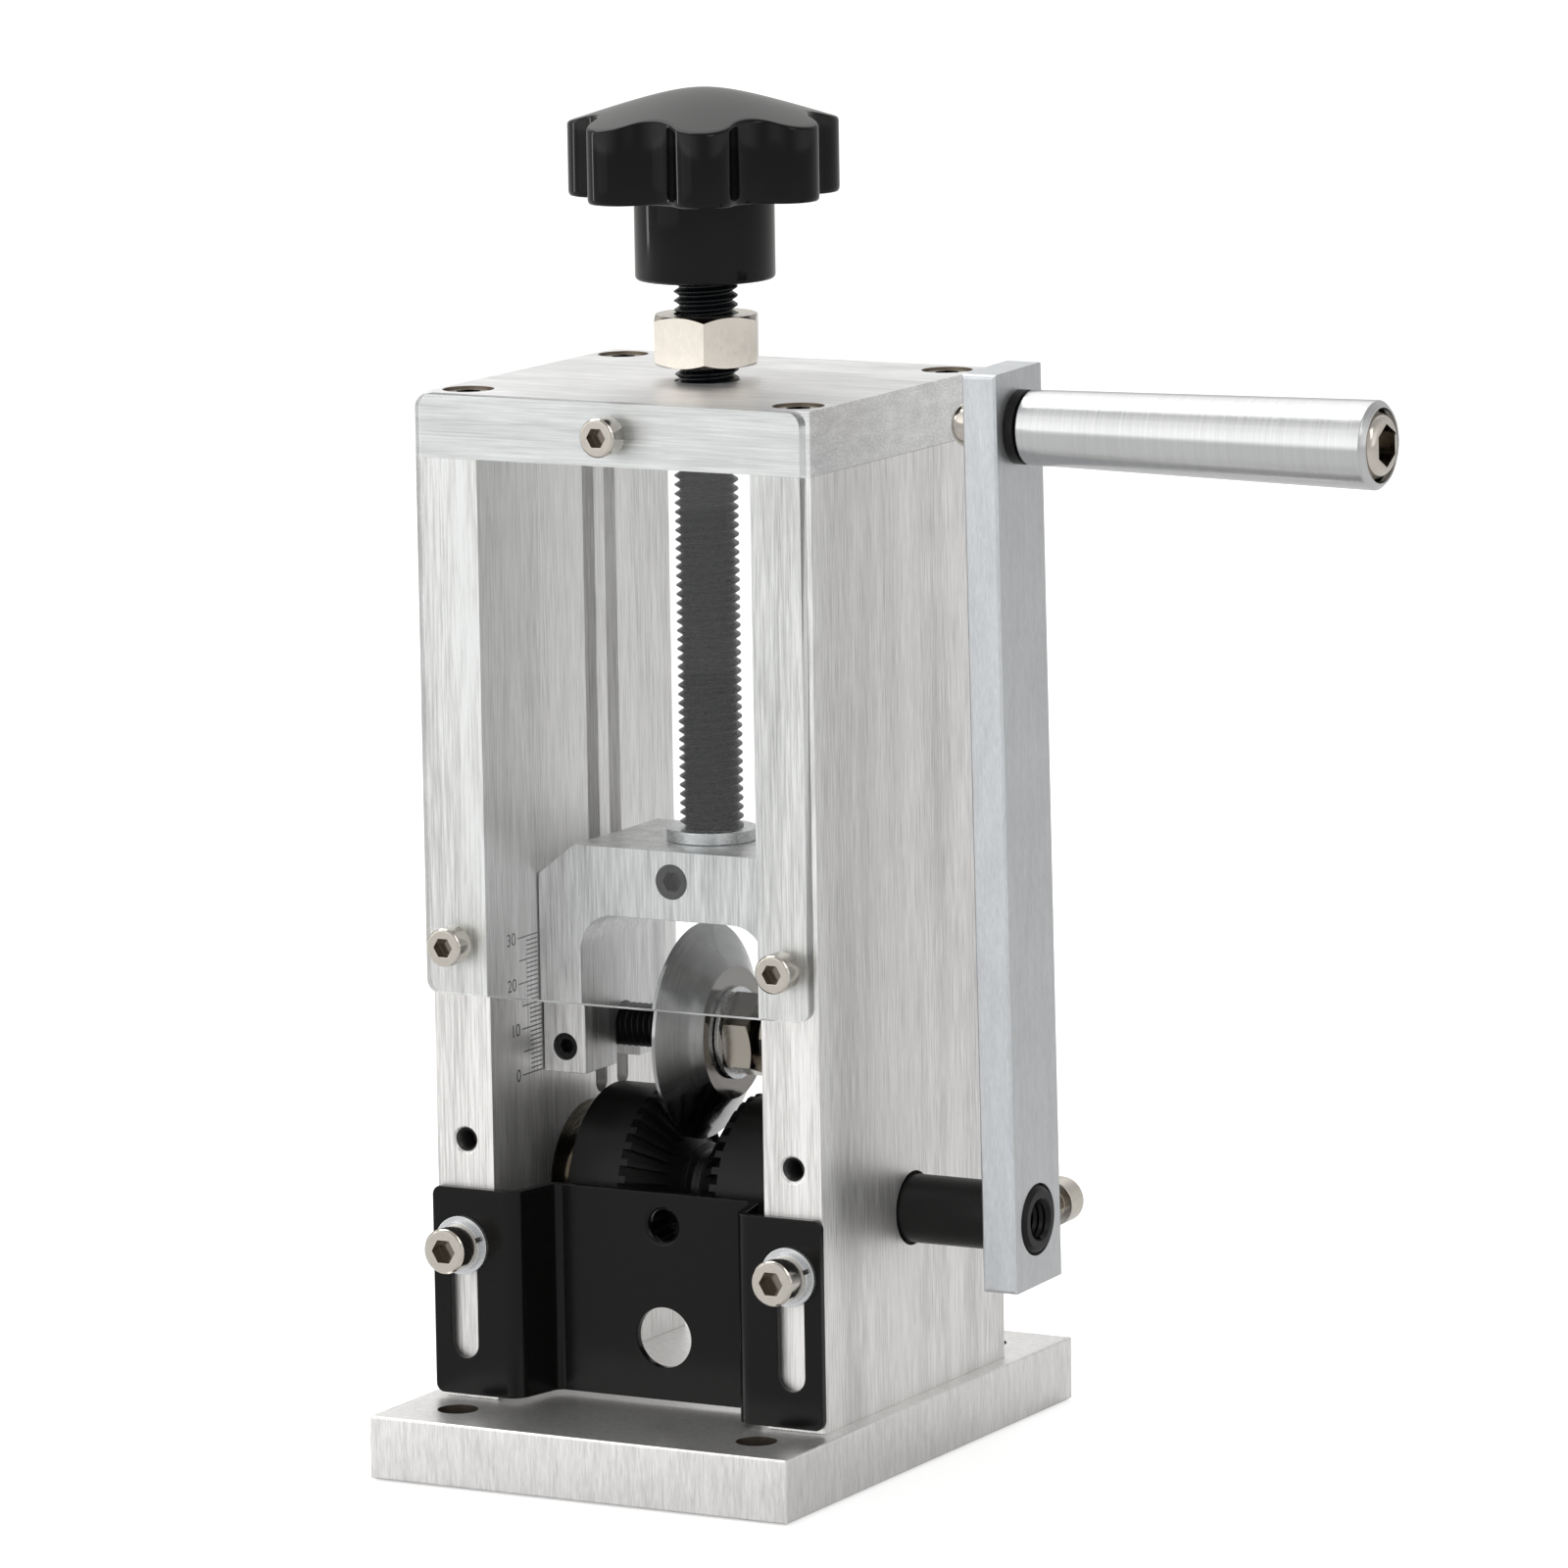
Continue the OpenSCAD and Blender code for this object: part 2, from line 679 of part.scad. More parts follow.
// Feed bracket: hat section, slotted flanges and two feed holes
module guide_bracket() {
    bore_l = panel_set + wall_d;
    color("black") difference() {
        intersection() {
            translate([0, 0, bracket_z0]) linear_extrude(bracket_h) {
                bracket_half();
                mirror([1, 0]) bracket_half();
            }
            to_front(0, 0, bracket_z0 + bracket_h / 2)
                linear_extrude(wall_d) round_rect(bracket_w, bracket_h, flange_r);
        }
        for (i = [-1, 1]) {
            for (z = [slot_low_z, slot_top_z])
                to_front(i * wall_mid_x, front_y + over, z)
                    cylinder(d = slot_w, h = sheet_t + 2 * over);
            translate([i * wall_mid_x - slot_w / 2, front_y - sheet_t - over, slot_low_z])
                cube([slot_w, sheet_t + 2 * over, slot_travel]);
        }
        to_front(feed_x, panel_y + sheet_t, bracket_z0 + wide_hole_up)
            cylinder(d = wide_hole_d, h = 2 * sheet_t);
        to_front(feed_x, panel_y + sheet_t, bracket_z0 + feed_hole_up)
            cylinder(d = feed_hole_d, h = 2 * sheet_t);
        to_front(feed_x, panel_y - sheet_t / 2 + feed_cone, bracket_z0 + feed_hole_up)
            rotate_extrude() polygon([
                [0, 0], [feed_hole_d / 2, 0], [feed_hole_d / 2 + feed_cone + over, feed_cone + over],
                [0, feed_cone + over]
            ]);
    }
}

// Places of the bracket screws, on the flanges' front
module at_bracket_screws(out) {
    for (i = [-1, 1])
        to_front(i * wall_mid_x, front_y - sheet_t - out, bracket_screw_z) children();
}

module bracket_washers() {
    color("silver") at_bracket_screws(0) ring(washer_d, m6_d / 2 + shank_gap, washer_t);
}

module bracket_spring_washers() {
    color("lightgray") at_bracket_screws(washer_t) difference() {
        ring(spring_washer_d, m6_d / 2 + shank_gap, spring_washer_t);
        rotate([0, 0, 20]) translate([0, -spring_cut / 2, -over])
            cube([spring_washer_d, spring_cut, spring_washer_t + 2 * over]);
    }
}

module bracket_screws() {
    stack = washer_t + spring_washer_t;
    color("tan") at_bracket_screws(stack)
        cap_screw(m6_d, m6_head_d, m6_head_h, stack + sheet_t + tap_l, m6_key);
}

// Outer race and shields of the two bearings
module bearing_outer_rings() {
    color("lightgray") for (s = [0, 1]) mirror([s, 0, 0]) translate([inner_x, 0, shaft_z])
        turned_x([
            [race_in_r + run_gap, shield_back], [race_mid_r, shield_back],
            [race_mid_r, 0], [race_out_r, 0], [race_out_r, bearing_w],
            [race_mid_r, bearing_w], [race_mid_r, bearing_w - shield_back],
            [race_in_r + run_gap, bearing_w - shield_back]
        ]);
}

module bearing_inner_rings() {
    color("khaki") for (s = [0, 1]) mirror([s, 0, 0]) to_side(inner_x, 0, shaft_z)
        ring(2 * race_in_r, shaft_d / 2, bearing_w);
}

// Shaft, through both walls and the arm, with a thread for a drill's adapter
module shaft() {
    x1 = arm_x1 + shaft_proud;
    color("dimgray") translate([0, 0, shaft_z]) turned_x([
        [0, -outer_x + shaft_edge], [shaft_d / 2 - shaft_edge, -outer_x + shaft_edge],
        [shaft_d / 2, -outer_x + 2 * shaft_edge],
        [shaft_d / 2, x1 - shaft_edge], [shaft_d / 2 - shaft_edge, x1],
        [drill_tap_d / 2 + spare_edge, x1], [drill_tap_d / 2, x1 - spare_edge],
        [drill_tap_d / 2, x1 - drill_tap_l - spare_edge], [0, x1 - drill_tap_l - spare_edge]
    ]);
}

module shaft_spacers() {
    color("dimgray") translate([0, 0, shaft_z]) {
        to_side(-inner_x, 0, 0) ring(spacer_d, shaft_d / 2, spacer_left_l);
        to_side(vee_x + rim_out, 0, 0) ring(spacer_d, shaft_d / 2, spacer_right_l);
    }
}

// One half of the feed roller, from the groove's middle along X, with its toothed cone
module roller_half(turn) {
    slope = [cos(cone_deg), sin(cone_deg)];
    inward = [sin(cone_deg), -cos(cone_deg)];
    root = [root_in, vee_root_r];
    far = norm([rim_in - root_in, roller_r - vee_root_r]) + over;
    difference() {
        turned_x([
            [shaft_d / 2, 0], [vee_root_r, 0], [vee_root_r, root_in], [roller_r, rim_in],
            [roller_r, rim_out], [shaft_d / 2, rim_out]
        ]);
        for (i = [0 : tooth_count - 1]) rotate([turn + i * 360 / tooth_count, 0, 0])
            rotate([90, 0, 0]) linear_extrude(tooth_slot_w, center = true) polygon([
                root + tooth_slot_deep * inward + tooth_slot_deep * slope,
                root + tooth_slot_deep * inward + far * slope,
                root - over * inward + far * slope,
                root - over * inward + tooth_slot_deep * slope
            ]);
        rotate([grub_turn, 0, 0]) translate([(rim_in + rim_out) / 2, 0, 0])
            cylinder(d = grub_d, h = roller_r + over);
    }
}

module roller_right() {
    color("dimgray") translate([vee_x, 0, shaft_z]) roller_half(tooth_turn);
}

module roller_left() {
    color("dimgray") translate([vee_x, 0, shaft_z]) mirror([1, 0, 0])
        roller_half(tooth_turn);
}

// Grub screws that hold the roller halves on the shaft
module roller_grub_screws() {
    l = roller_r - shaft_d / 2 - over;
    color("black") translate([vee_x, 0, shaft_z]) for (s = [0, 1]) mirror([s, 0, 0])
        rotate([grub_turn, 0, 0])
            translate([(rim_in + rim_out) / 2, 0, shaft_d / 2]) difference() {
                cylinder(d = grub_d, h = l);
                translate([0, 0, l / 2]) cylinder(d = grub_key / cos(30), h = l, $fn = 6);
            }
}

// Places a crank piece: the shaft's axis at zero and the arm pointing up
module at_crank() {
    translate([0, 0, shaft_z]) rotate([arm_lean, 0, 0]) children();
}

// Crank arm: flat bar with a bore, a clamp screw's thread and the handle's thread
module crank_arm() {
    mid = arm_l / 2 - arm_foot;
    color("lightsteelblue") at_crank() difference() {
        translate([(arm_x0 + arm_x1) / 2, 0, mid]) intersection() {
            rotate([0, 90, 0]) linear_extrude(arm_t, center = true)
                round_rect(arm_l, arm_w, arm_corner_r);
            linear_extrude(arm_l, center = true) polygon([
                [-arm_t / 2 + arm_edge, -arm_w / 2], [arm_t / 2 - arm_edge, -arm_w / 2],
                [arm_t / 2, -arm_w / 2 + arm_edge], [arm_t / 2, arm_w / 2 - arm_edge],
                [arm_t / 2 - arm_edge, arm_w / 2], [-arm_t / 2 + arm_edge, arm_w / 2],
                [-arm_t / 2, arm_w / 2 - arm_edge], [-arm_t / 2, -arm_w / 2 + arm_edge]
            ]);
        }
        bar_x(shaft_d / 2 + arm_bore_gap, arm_x0 - over, arm_x1 + over);
        translate([0, 0, crank_throw])
            bar_x(handle_bolt_d / 2, arm_x0 - over, arm_x1 + over);
        translate([(arm_x0 + arm_x1) / 2, 0, 0]) rotate([-90, 0, 0])
            cylinder(d = m6_d, h = arm_w);
    }
}

module arm_clamp_screw() {
    color("tan") at_crank()
        translate([(arm_x0 + arm_x1) / 2, arm_w / 2 + clamp_standoff, 0])
            rotate([-90, 0, 0]) cap_screw(m6_d, m6_head_d, m6_head_h,
                arm_w / 2 + clamp_standoff - shaft_d / 2, m6_key);
}

// Handle bolt: its head turns inside the sleeve's end
module handle_bolt() {
    color("tan") at_crank() to_side(handle_head_x, 0, crank_throw)
        cap_screw(handle_bolt_d, handle_head_d, handle_head_h,
            handle_head_x - arm_x0 + handle_bolt_proud, handle_key, handle_head_edge);
}

module handle_washer() {
    color("dimgray") at_crank() to_side(arm_x1, 0, crank_throw)
        ring(handle_washer_d, handle_bolt_d / 2, handle_washer_t);
}

// Handle sleeve: tapered, free to turn on its bolt
module handle_sleeve() {
    bore = handle_bolt_d / 2 + run_gap;
    sink = handle_head_d / 2 + sleeve_bore_gap;
    x0 = sleeve_x0 + end_gap;
    r0 = handle_d0 / 2;
    r1 = handle_d1 / 2;
    color("whitesmoke") at_crank() translate([0, 0, crank_throw]) turned_x([
        [bore, x0], [r0 - sleeve_inner_edge, x0], [r0, x0 + sleeve_inner_edge],
        [r1, sleeve_x1 - sleeve_edge], [r1 - sleeve_edge, sleeve_x1], [sink, sleeve_x1],
        [sink, handle_head_x - end_gap], [bore, handle_head_x - end_gap]
    ]);
}

// Carrier: arch with slotted legs, guide tongues and the adjusting screw's seat
module carrier() {
    span = 2 * leg_in_x;
    arch_z = carrier_z0 + arch_h;
    tongue_w = groove_w - 2 * guide_gap;
    color("lightgray") difference() {
        union() {
            to_front(0, carrier_y1, 0) linear_extrude(carrier_d) difference() {
                polygon([
                    [-carrier_x, carrier_z0], [carrier_x, carrier_z0],
                    [carrier_x, carrier_z1 - shoulder_h],
                    [carrier_x - shoulder_w, carrier_z1],
                    [-carrier_x + shoulder_w, carrier_z1],
                    [-carrier_x, carrier_z1 - shoulder_h]
                ]);
                translate([-span / 2, carrier_z0 - over])
                    square([span, arch_h + over - arch_r]);
                translate([-span / 2 + arch_r, carrier_z0 - over])
                    square([span - 2 * arch_r, arch_h + over]);
                for (i = [-1, 1]) translate([i * (leg_in_x - arch_r), arch_z - arch_r])
                    circle(r = arch_r);
            }
            for (i = [0, 1], y = [groove_y, groove_y + groove_pitch]) mirror([i, 0, 0])
                translate([carrier_x - over, y - tongue_w / 2, carrier_z0])
                    cube([over + groove_deep, tongue_w, carrier_h - shoulder_h - over]);
        }
        translate([0, lift_y, axle_z]) {
            bar_x(axle_r + end_gap, -carrier_x + axle_end, carrier_x - axle_end);
            for (i = [0, 1]) mirror([i, 0, 0])
                translate([leg_in_x - over, -axle_r - end_gap, -axle_up - over])
                    cube([over + leg_w - axle_end, 2 * (axle_r + end_gap), axle_up + over]);
        }
        translate([0, lift_y, spigot_z0 - end_gap])
            cylinder(r = spigot_r + run_gap, h = spigot_l + over);
        to_front(0, lift_y, retainer_z) cylinder(d = retainer_d, h = carrier_d);
        translate([-(leg_in_x + carrier_x) / 2, carrier_y0 - over, set_screw_z])
            rotate([-90, 0, 0]) cylinder(d = m6_d, h = over + carrier_d / 2);
    }
}

// Screw in the left leg's front that clamps the axle
module carrier_set_screw() {
    x = -(leg_in_x + carrier_x) / 2;
    up = set_screw_z + m6_d / 2 > axle_z ? 0 : axle_z - set_screw_z - m6_d / 2;
    tip = lift_y - sqrt(axle_r * axle_r - up * up);
    y0 = carrier_y0 + set_screw_sink;
    l = tip - y0;
    color("black") to_front(x, tip, set_screw_z) difference() {
        cylinder(d = m6_d, h = l);
        translate([0, 0, l - m6_head_h * key_share])
            cylinder(d = grub_key / cos(30), h = l, $fn = 6);
    }
}

// Plug whose nose runs in the adjusting screw's neck
module screw_retainer() {
    y_in = lift_y - spigot_r - 2 * end_gap;
    nose = lift_y - neck_r - 2 * run_gap;
    color("dimgray") {
        to_front(0, y_in, retainer_z) difference() {
            cylinder(d = retainer_d, h = y_in - carrier_y0 - retainer_sink);
            translate([0, 0, y_in - carrier_y0 - retainer_sink - retainer_key_l])
                cylinder(d = retainer_key / cos(30), h = retainer_key_l + over, $fn = 6);
        }
        to_front(0, nose, retainer_z)
            cylinder(d = retainer_nose_d, h = nose - y_in + end_gap);
    }
}

// Threaded axle through both legs and the blade
module axle_rod() {
    reach = carrier_x - axle_end;
    color("black") translate([0, lift_y, axle_z]) turned_x([
        [0, -reach], [axle_r - head_edge, -reach], [axle_r, -reach + head_edge],
        [axle_r, reach - head_edge], [axle_r - head_edge, reach], [0, reach]
    ]);
}

module axle_nuts() {
    xs = [nut_l_x, nut_r_x, leg_nut_x];
    color("dimgray") for (i = [0 : len(xs) - 1])
        to_side(xs[i], lift_y, axle_z) rotate([0, 0, nut_turns[i]])
            hex_nut(axle_nut_af, axle_nut_h, axle_r);
}

module axle_washers() {
    color("silver") for (x = [washer_l_x, washer_r_x, leg_washer_x])
        to_side(x, lift_y, axle_z) ring(axle_washer_d, axle_r, axle_washer_t);
}

// Round blade: land, bevel, raised hub and a bore for its bush
module blade() {
    color("slategray") translate([0, lift_y, axle_z]) turned_x([
        [bush_d / 2, edge_x0], [blade_d / 2, edge_x0], [blade_d / 2, edge_x],
        [bevel_d / 2, bevel_x], [hub_face_d / 2, hub_x], [bush_d / 2, hub_x]
    ]);
}

module blade_bush() {
    color("peru") to_side(bush_x0, lift_y, axle_z)
        ring(bush_d, axle_r + run_gap, bush_x1 - bush_x0);
}

// Adjusting screw: threaded rod with a necked spigot that turns in the carrier
module adjusting_screw() {
    neck = retainer_nose_d / 2 + 2 * end_gap;
    top = hub_z0 + rod_in_knob;
    color("black") translate([0, lift_y, 0]) rotate_extrude() polygon([
        [0, spigot_z0], [spigot_r - head_edge, spigot_z0],
        [spigot_r, spigot_z0 + head_edge], [spigot_r, retainer_z - neck],
        [neck_r, retainer_z - neck], [neck_r, retainer_z + neck],
        [spigot_r, retainer_z + neck], [spigot_r, rod_z0], [rod_r, rod_z0],
        [rod_r, top - rod_edge], [rod_r - rod_edge, top], [0, top]
    ]);
}

module thrust_collar() {
    color("dimgray") translate([0, lift_y, collar_z0]) ring(collar_d, spigot_r, collar_t);
}

module lock_nut() {
    color("tan") translate([0, lift_y, lock_nut_z]) rotate([0, 0, lock_nut_turn_deg])
        hex_nut(lock_nut_af, lock_nut_h, rod_r + run_gap);
}

// Outline of the lobes: circles joined by round valleys
module lobes_2d() {
    tan_pt = lobe_r / (lobe_r + valley_r);
    lobe = lobe_c * unit(0);
    valley = valley_c * unit(half_pitch_deg);
    touch = lobe + tan_pt * (valley - lobe);
    spread = atan2(touch[1], touch[0]);
    difference() {
        union() {
            for (i = [0 : lobe_count - 1]) rotate(i * 360 / lobe_count) {
                translate(lobe) circle(r = lobe_r);
                polygon([
                    [0, 0], touch, norm(touch) * unit(half_pitch_deg),
                    norm(touch) * unit(2 * half_pitch_deg - spread)
                ]);
                polygon([[0, 0], norm(touch) * unit(-spread), touch]);
            }
        }
        for (i = [0 : lobe_count - 1]) rotate((i + 1 / 2) * 360 / lobe_count)
            translate([valley_c, 0]) circle(r = valley_r);
    }
}

// Star knob with seven lobes, a domed top and a round hub
module knob() {
    r = knob_d / 2;
    top = lobe_z1 + dome_h;
    color([0.08, 0.08, 0.09]) translate([0, lift_y, 0]) difference() {
        union() {
            intersection() {
                translate([0, 0, lobe_z0]) rotate(knob_turn_deg)
                    linear_extrude(top - lobe_z0) lobes_2d();
                rotate_extrude() polygon(concat(
                    [[0, lobe_z0], [r - lobe_edge_r, lobe_z0], [r, lobe_z0 + lobe_edge_r]],
                    [for (a = [0 : 15 : 60]) [
                        r - dome_edge_r + dome_edge_r * cos(a),
                        lobe_z1 - dome_edge_r + dome_edge_r * sin(a)
                    ]],
                    [for (i = [3 : -1 : 0]) [
                        (r - dome_edge_r) * i / 4,
                        top - (top - lobe_z1) * i * i / 16
                    ]]
                ));
            }
            translate([0, 0, hub_z0]) cylinder(d = hub_d, h = hub_h + over);
        }
        translate([0, 0, hub_z0 - over]) cylinder(d = insert_d, h = insert_l + over);
        translate([0, 0, hub_z0 - over]) cylinder(r = rod_r, h = rod_in_knob + over);
    }
}

module knob_insert() {
    color("goldenrod") translate([0, lift_y, hub_z0]) ring(insert_d, rod_r, insert_l);
}

base_plate();
left_wall();
right_wall();
top_plate();
base_screws();
top_screws();
shield();
shield_screws();
guide_bracket();
bracket_screws();
bracket_washers();
bracket_spring_washers();
bearing_outer_rings();
bearing_inner_rings();
shaft();
shaft_spacers();
roller_left();
roller_right();
roller_grub_screws();
crank_arm();
arm_clamp_screw();
handle_bolt();
handle_washer();
handle_sleeve();
carrier();
carrier_set_screw();
screw_retainer();
axle_rod();
axle_nuts();
axle_washers();
blade();
blade_bush();
adjusting_screw();
thrust_collar();
lock_nut();
knob();
knob_insert();
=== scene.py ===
# %% [markdown]
# A hand crank wire stripper
#
# The machine slits the sheath off a cable: a toothed roller pulls the cable under a round
# blade. The solids come from the CAD frame, already in place and to size. This script
# gives every solid its rounded edges and its finish, and adds what the solids leave out:
# the screw threads, the millimetre scale, the moulded knob and the light of the studio.

# %% Load the CAD frame
import json
import math

import bpy
from mathutils import Matrix, Vector


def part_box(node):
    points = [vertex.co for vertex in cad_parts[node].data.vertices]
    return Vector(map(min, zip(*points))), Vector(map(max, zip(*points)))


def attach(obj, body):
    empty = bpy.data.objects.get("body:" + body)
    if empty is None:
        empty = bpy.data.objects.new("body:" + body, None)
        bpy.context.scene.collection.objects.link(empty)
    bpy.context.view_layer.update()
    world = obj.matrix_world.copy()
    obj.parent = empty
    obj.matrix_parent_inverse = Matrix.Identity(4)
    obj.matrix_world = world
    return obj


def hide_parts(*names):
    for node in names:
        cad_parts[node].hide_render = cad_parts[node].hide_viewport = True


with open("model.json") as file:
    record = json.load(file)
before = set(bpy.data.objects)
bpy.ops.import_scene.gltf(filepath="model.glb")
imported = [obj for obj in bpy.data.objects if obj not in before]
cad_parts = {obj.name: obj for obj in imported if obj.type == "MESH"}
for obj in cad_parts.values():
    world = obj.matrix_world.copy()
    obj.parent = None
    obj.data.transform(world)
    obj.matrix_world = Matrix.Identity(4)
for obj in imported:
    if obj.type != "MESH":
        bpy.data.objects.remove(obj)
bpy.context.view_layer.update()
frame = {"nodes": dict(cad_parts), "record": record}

mm = 0.001

# %% [markdown]
# Which finish goes where
#
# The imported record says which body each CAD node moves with, and which material slot it
# takes. Reading both from the record keeps this script in step with the CAD.

# %% Bodies and slots of the nodes
body_of = {}
for body, members in frame["record"]["behaviour"]["bodies"].items():
    for member in members:
        body_of[member] = body
slot_of = {part["node"]: part["material_slot"] for part in frame["record"]["subparts"]}

# %% [markdown]
# The camera
#
# The photograph was taken from the right and slightly above, with a long lens. A long lens
# far away keeps the walls nearly parallel. The axes are built from three angles, and the
# small roll is the tilt of the photographer's camera.

# %% Place the camera
CAMERA_AT = (1.041152, -1.871403, 0.494189)
CAMERA_AZIMUTH, CAMERA_ELEVATION, CAMERA_ROLL = 28.6906, 9.2392, -0.9093
LENS, SENSOR, FAR = 228.24, 36, 100


def direction(azimuth, elevation):
    """Unit vector towards that azimuth and elevation; azimuth 0 is the front."""
    a, e = math.radians(azimuth), math.radians(elevation)
    return Vector((math.sin(a) * math.cos(e), -math.cos(a) * math.cos(e), math.sin(e)))


back = direction(CAMERA_AZIMUTH, CAMERA_ELEVATION)
level = direction(CAMERA_AZIMUTH + 90, 0)
roll = math.radians(CAMERA_ROLL)
right = level * math.cos(roll) + back.cross(level) * math.sin(roll)
camera = bpy.data.objects.new("camera", bpy.data.cameras.new("camera"))
bpy.context.scene.collection.objects.link(camera)
camera.data.lens = LENS
camera.data.sensor_width = SENSOR
camera.data.clip_end = FAR
camera.matrix_world = Matrix.Translation(CAMERA_AT) @ Matrix(
    (right, back.cross(right), back)
).transposed().to_4x4()
bpy.context.scene.camera = camera
bpy.context.scene.view_settings.view_transform = "Standard"
print("camera looks along", [round(c, 3) for c in -back])

# %% [markdown]
# Working by hand, in code
#
# Every operator acts on what is selected, so a piece is always picked alone first. At the
# end its place, turn and scale are applied, which leaves the object at the origin with its
# place in its mesh, as the CAD nodes have it.

# %% Helpers to pick, shape and finish a piece
MERGE = 1e-6  # vertices closer than a thousandth of a millimetre are one


def pick_none():
    if bpy.context.mode != "OBJECT":
        bpy.ops.object.mode_set(mode="OBJECT")
    bpy.ops.object.select_all(action="DESELECT")


def pick(piece):
    pick_none()
    piece.select_set(True)
    bpy.context.view_layer.objects.active = piece


def into_mesh(piece, select="SELECT"):
    """Opens a piece in edit mode, with all of its mesh selected or none."""
    pick(piece)
    bpy.ops.object.mode_set(mode="EDIT")
    bpy.ops.mesh.select_all(action=select)


def out_of_mesh():
    bpy.ops.object.mode_set(mode="OBJECT")


def apply_modifiers(piece):
    pick(piece)
    for modifier in list(piece.modifiers):
        bpy.ops.object.modifier_apply(modifier=modifier.name)


def settle(piece):
    """Applies place, turn and scale, so that they are in the mesh."""
    pick(piece)
    bpy.ops.object.transform_apply(location=True, rotation=True, scale=True)


def clean(piece):
    """Merges doubles and turns all faces outwards."""
    into_mesh(piece)
    bpy.ops.mesh.remove_doubles(threshold=MERGE)
    bpy.ops.mesh.normals_make_consistent(inside=False)
    out_of_mesh()


def smooth(piece, angle=35):
    pick(piece)
    bpy.ops.object.shade_smooth_by_angle(angle=math.radians(angle))


def bevel_ends(piece, is_end, width, segments):
    """Bevels the rims of the faces for which is_end(face) is true; width in mm."""
    into_mesh(piece, "DESELECT")
    bpy.ops.mesh.select_mode(type="FACE")
    out_of_mesh()
    for face in piece.data.polygons:
        face.select = is_end(face)
    bpy.ops.object.mode_set(mode="EDIT")
    bpy.ops.mesh.bevel(offset=width * mm, segments=segments, affect="EDGES")
    bpy.ops.mesh.select_mode(type="VERT")
    out_of_mesh()


def join(name, pieces):
    """Joins several pieces into the first."""
    pick_none()
    for piece in pieces:
        piece.select_set(True)
    bpy.context.view_layer.objects.active = pieces[0]
    bpy.ops.object.join()
    pieces[0].name = name
    return pieces[0]


def seat(piece, material, nodes=(), body=None):
    """Gives a finished piece its material and its body, and hides the nodes that it stands for."""
    settle(piece)
    piece.data.materials.clear()
    piece.data.materials.append(material)
    if nodes:
        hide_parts(*nodes)
    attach(piece, body or body_of[nodes[0]])
    print(piece.name, len(piece.data.polygons), "faces")


# %% [markdown]
# Edges that catch the light
#
# No machined edge is perfectly sharp, and the thin bright line along an edge tells the eye
# that a part is metal. A copy of each CAD solid is merged, its flat faces are joined, and a
# Bevel modifier rounds the edges that turn by more than 30 degrees. Weighted normals keep
# the large faces flat in shading, so that the whole turn of light stays in the bevel.

# %% A CAD solid with rounded edges
SHARP, FLAT = 30, 0.3  # degrees between faces: an edge above the one, one face below the other


def dressed(node, edge):
    """A merged copy of a CAD node whose sharp edges are rounded by edge, in mm."""
    piece = bpy.data.objects.new(node + "_finished", frame["nodes"][node].data.copy())
    bpy.context.scene.collection.objects.link(piece)
    pick(piece)
    bpy.ops.mesh.customdata_custom_splitnormals_clear()
    into_mesh(piece)
    bpy.ops.mesh.remove_doubles(threshold=MERGE)
    bpy.ops.mesh.dissolve_limited(angle_limit=math.radians(FLAT))
    out_of_mesh()
    if not edge:
        smooth(piece)
        return piece
    bpy.ops.object.shade_smooth()
    bevel = piece.modifiers.new("round edges", "BEVEL")
    bevel.width = edge * mm
    bevel.segments = 2
    bevel.limit_method = "ANGLE"
    bevel.angle_limit = math.radians(SHARP)
    weights = piece.modifiers.new("flat faces", "WEIGHTED_NORMAL")
    weights.mode = "FACE_AREA"
    weights.weight = 70
    apply_modifiers(piece)
    return piece


# %% [markdown]
# Building materials from nodes
#
# A material here is a Principled shader fed by a few node groups. Each group is built once,
# has named inputs, and gives out only a colour, a value or a height, so that the same
# brushing or speckle can be used on several metals with other numbers.


# %% Helpers to build node trees
def feed(tree, node, inputs):
    """Fills a node's inputs: a socket is linked, and anything else is the value itself."""
    for name, value in inputs.items():
        if isinstance(value, bpy.types.NodeSocket):
            tree.links.new(value, node.inputs[name])
        else:
            node.inputs[name].default_value = value


def add_node(tree, kind, inputs=None, **settings):
    node = tree.nodes.new("ShaderNode" + kind)
    for name, value in settings.items():
        setattr(node, name, value)
    feed(tree, node, inputs or {})
    return node


def math_node(tree, operation, a, b):
    """One Math node; a and b are sockets or numbers."""
    return add_node(tree, "Math", {0: a, 1: b}, operation=operation).outputs[0]


def mix_colours(tree, share, first, second):
    """A Mix node; share is a socket or a number. Gives the mixed colour."""
    return add_node(tree, "Mix", {0: share, 6: first, 7: second}, data_type="RGBA").outputs[2]


def mix_shaders(tree, share, first, second):
    """A Mix Shader node between the outputs of two shaders; gives its output."""
    return add_node(tree, "MixShader", {0: share, 1: first, 2: second}).outputs[0]


def object_place(tree):
    return add_node(tree, "TexCoord").outputs["Object"]


def relief(tree, height, strength):
    """A Bump node a fifth of a millimetre deep; gives the bent normal."""
    return add_node(tree, "Bump", {
        "Height": height, "Strength": strength, "Distance": 0.0002}).outputs[0]


def new_group(name, inputs, outputs):
    """An empty node group with named sockets, and its input and output nodes."""
    tree = bpy.data.node_groups.new(name, "ShaderNodeTree")
    kinds = {"float": "NodeSocketFloat", "colour": "NodeSocketColor", "vector": "NodeSocketVector"}
    for socket, kind in inputs:
        tree.interface.new_socket(socket, in_out="INPUT", socket_type=kinds[kind])
    for socket, kind in outputs:
        tree.interface.new_socket(socket, in_out="OUTPUT", socket_type=kinds[kind])
    return tree, tree.nodes.new("NodeGroupInput"), tree.nodes.new("NodeGroupOutput")


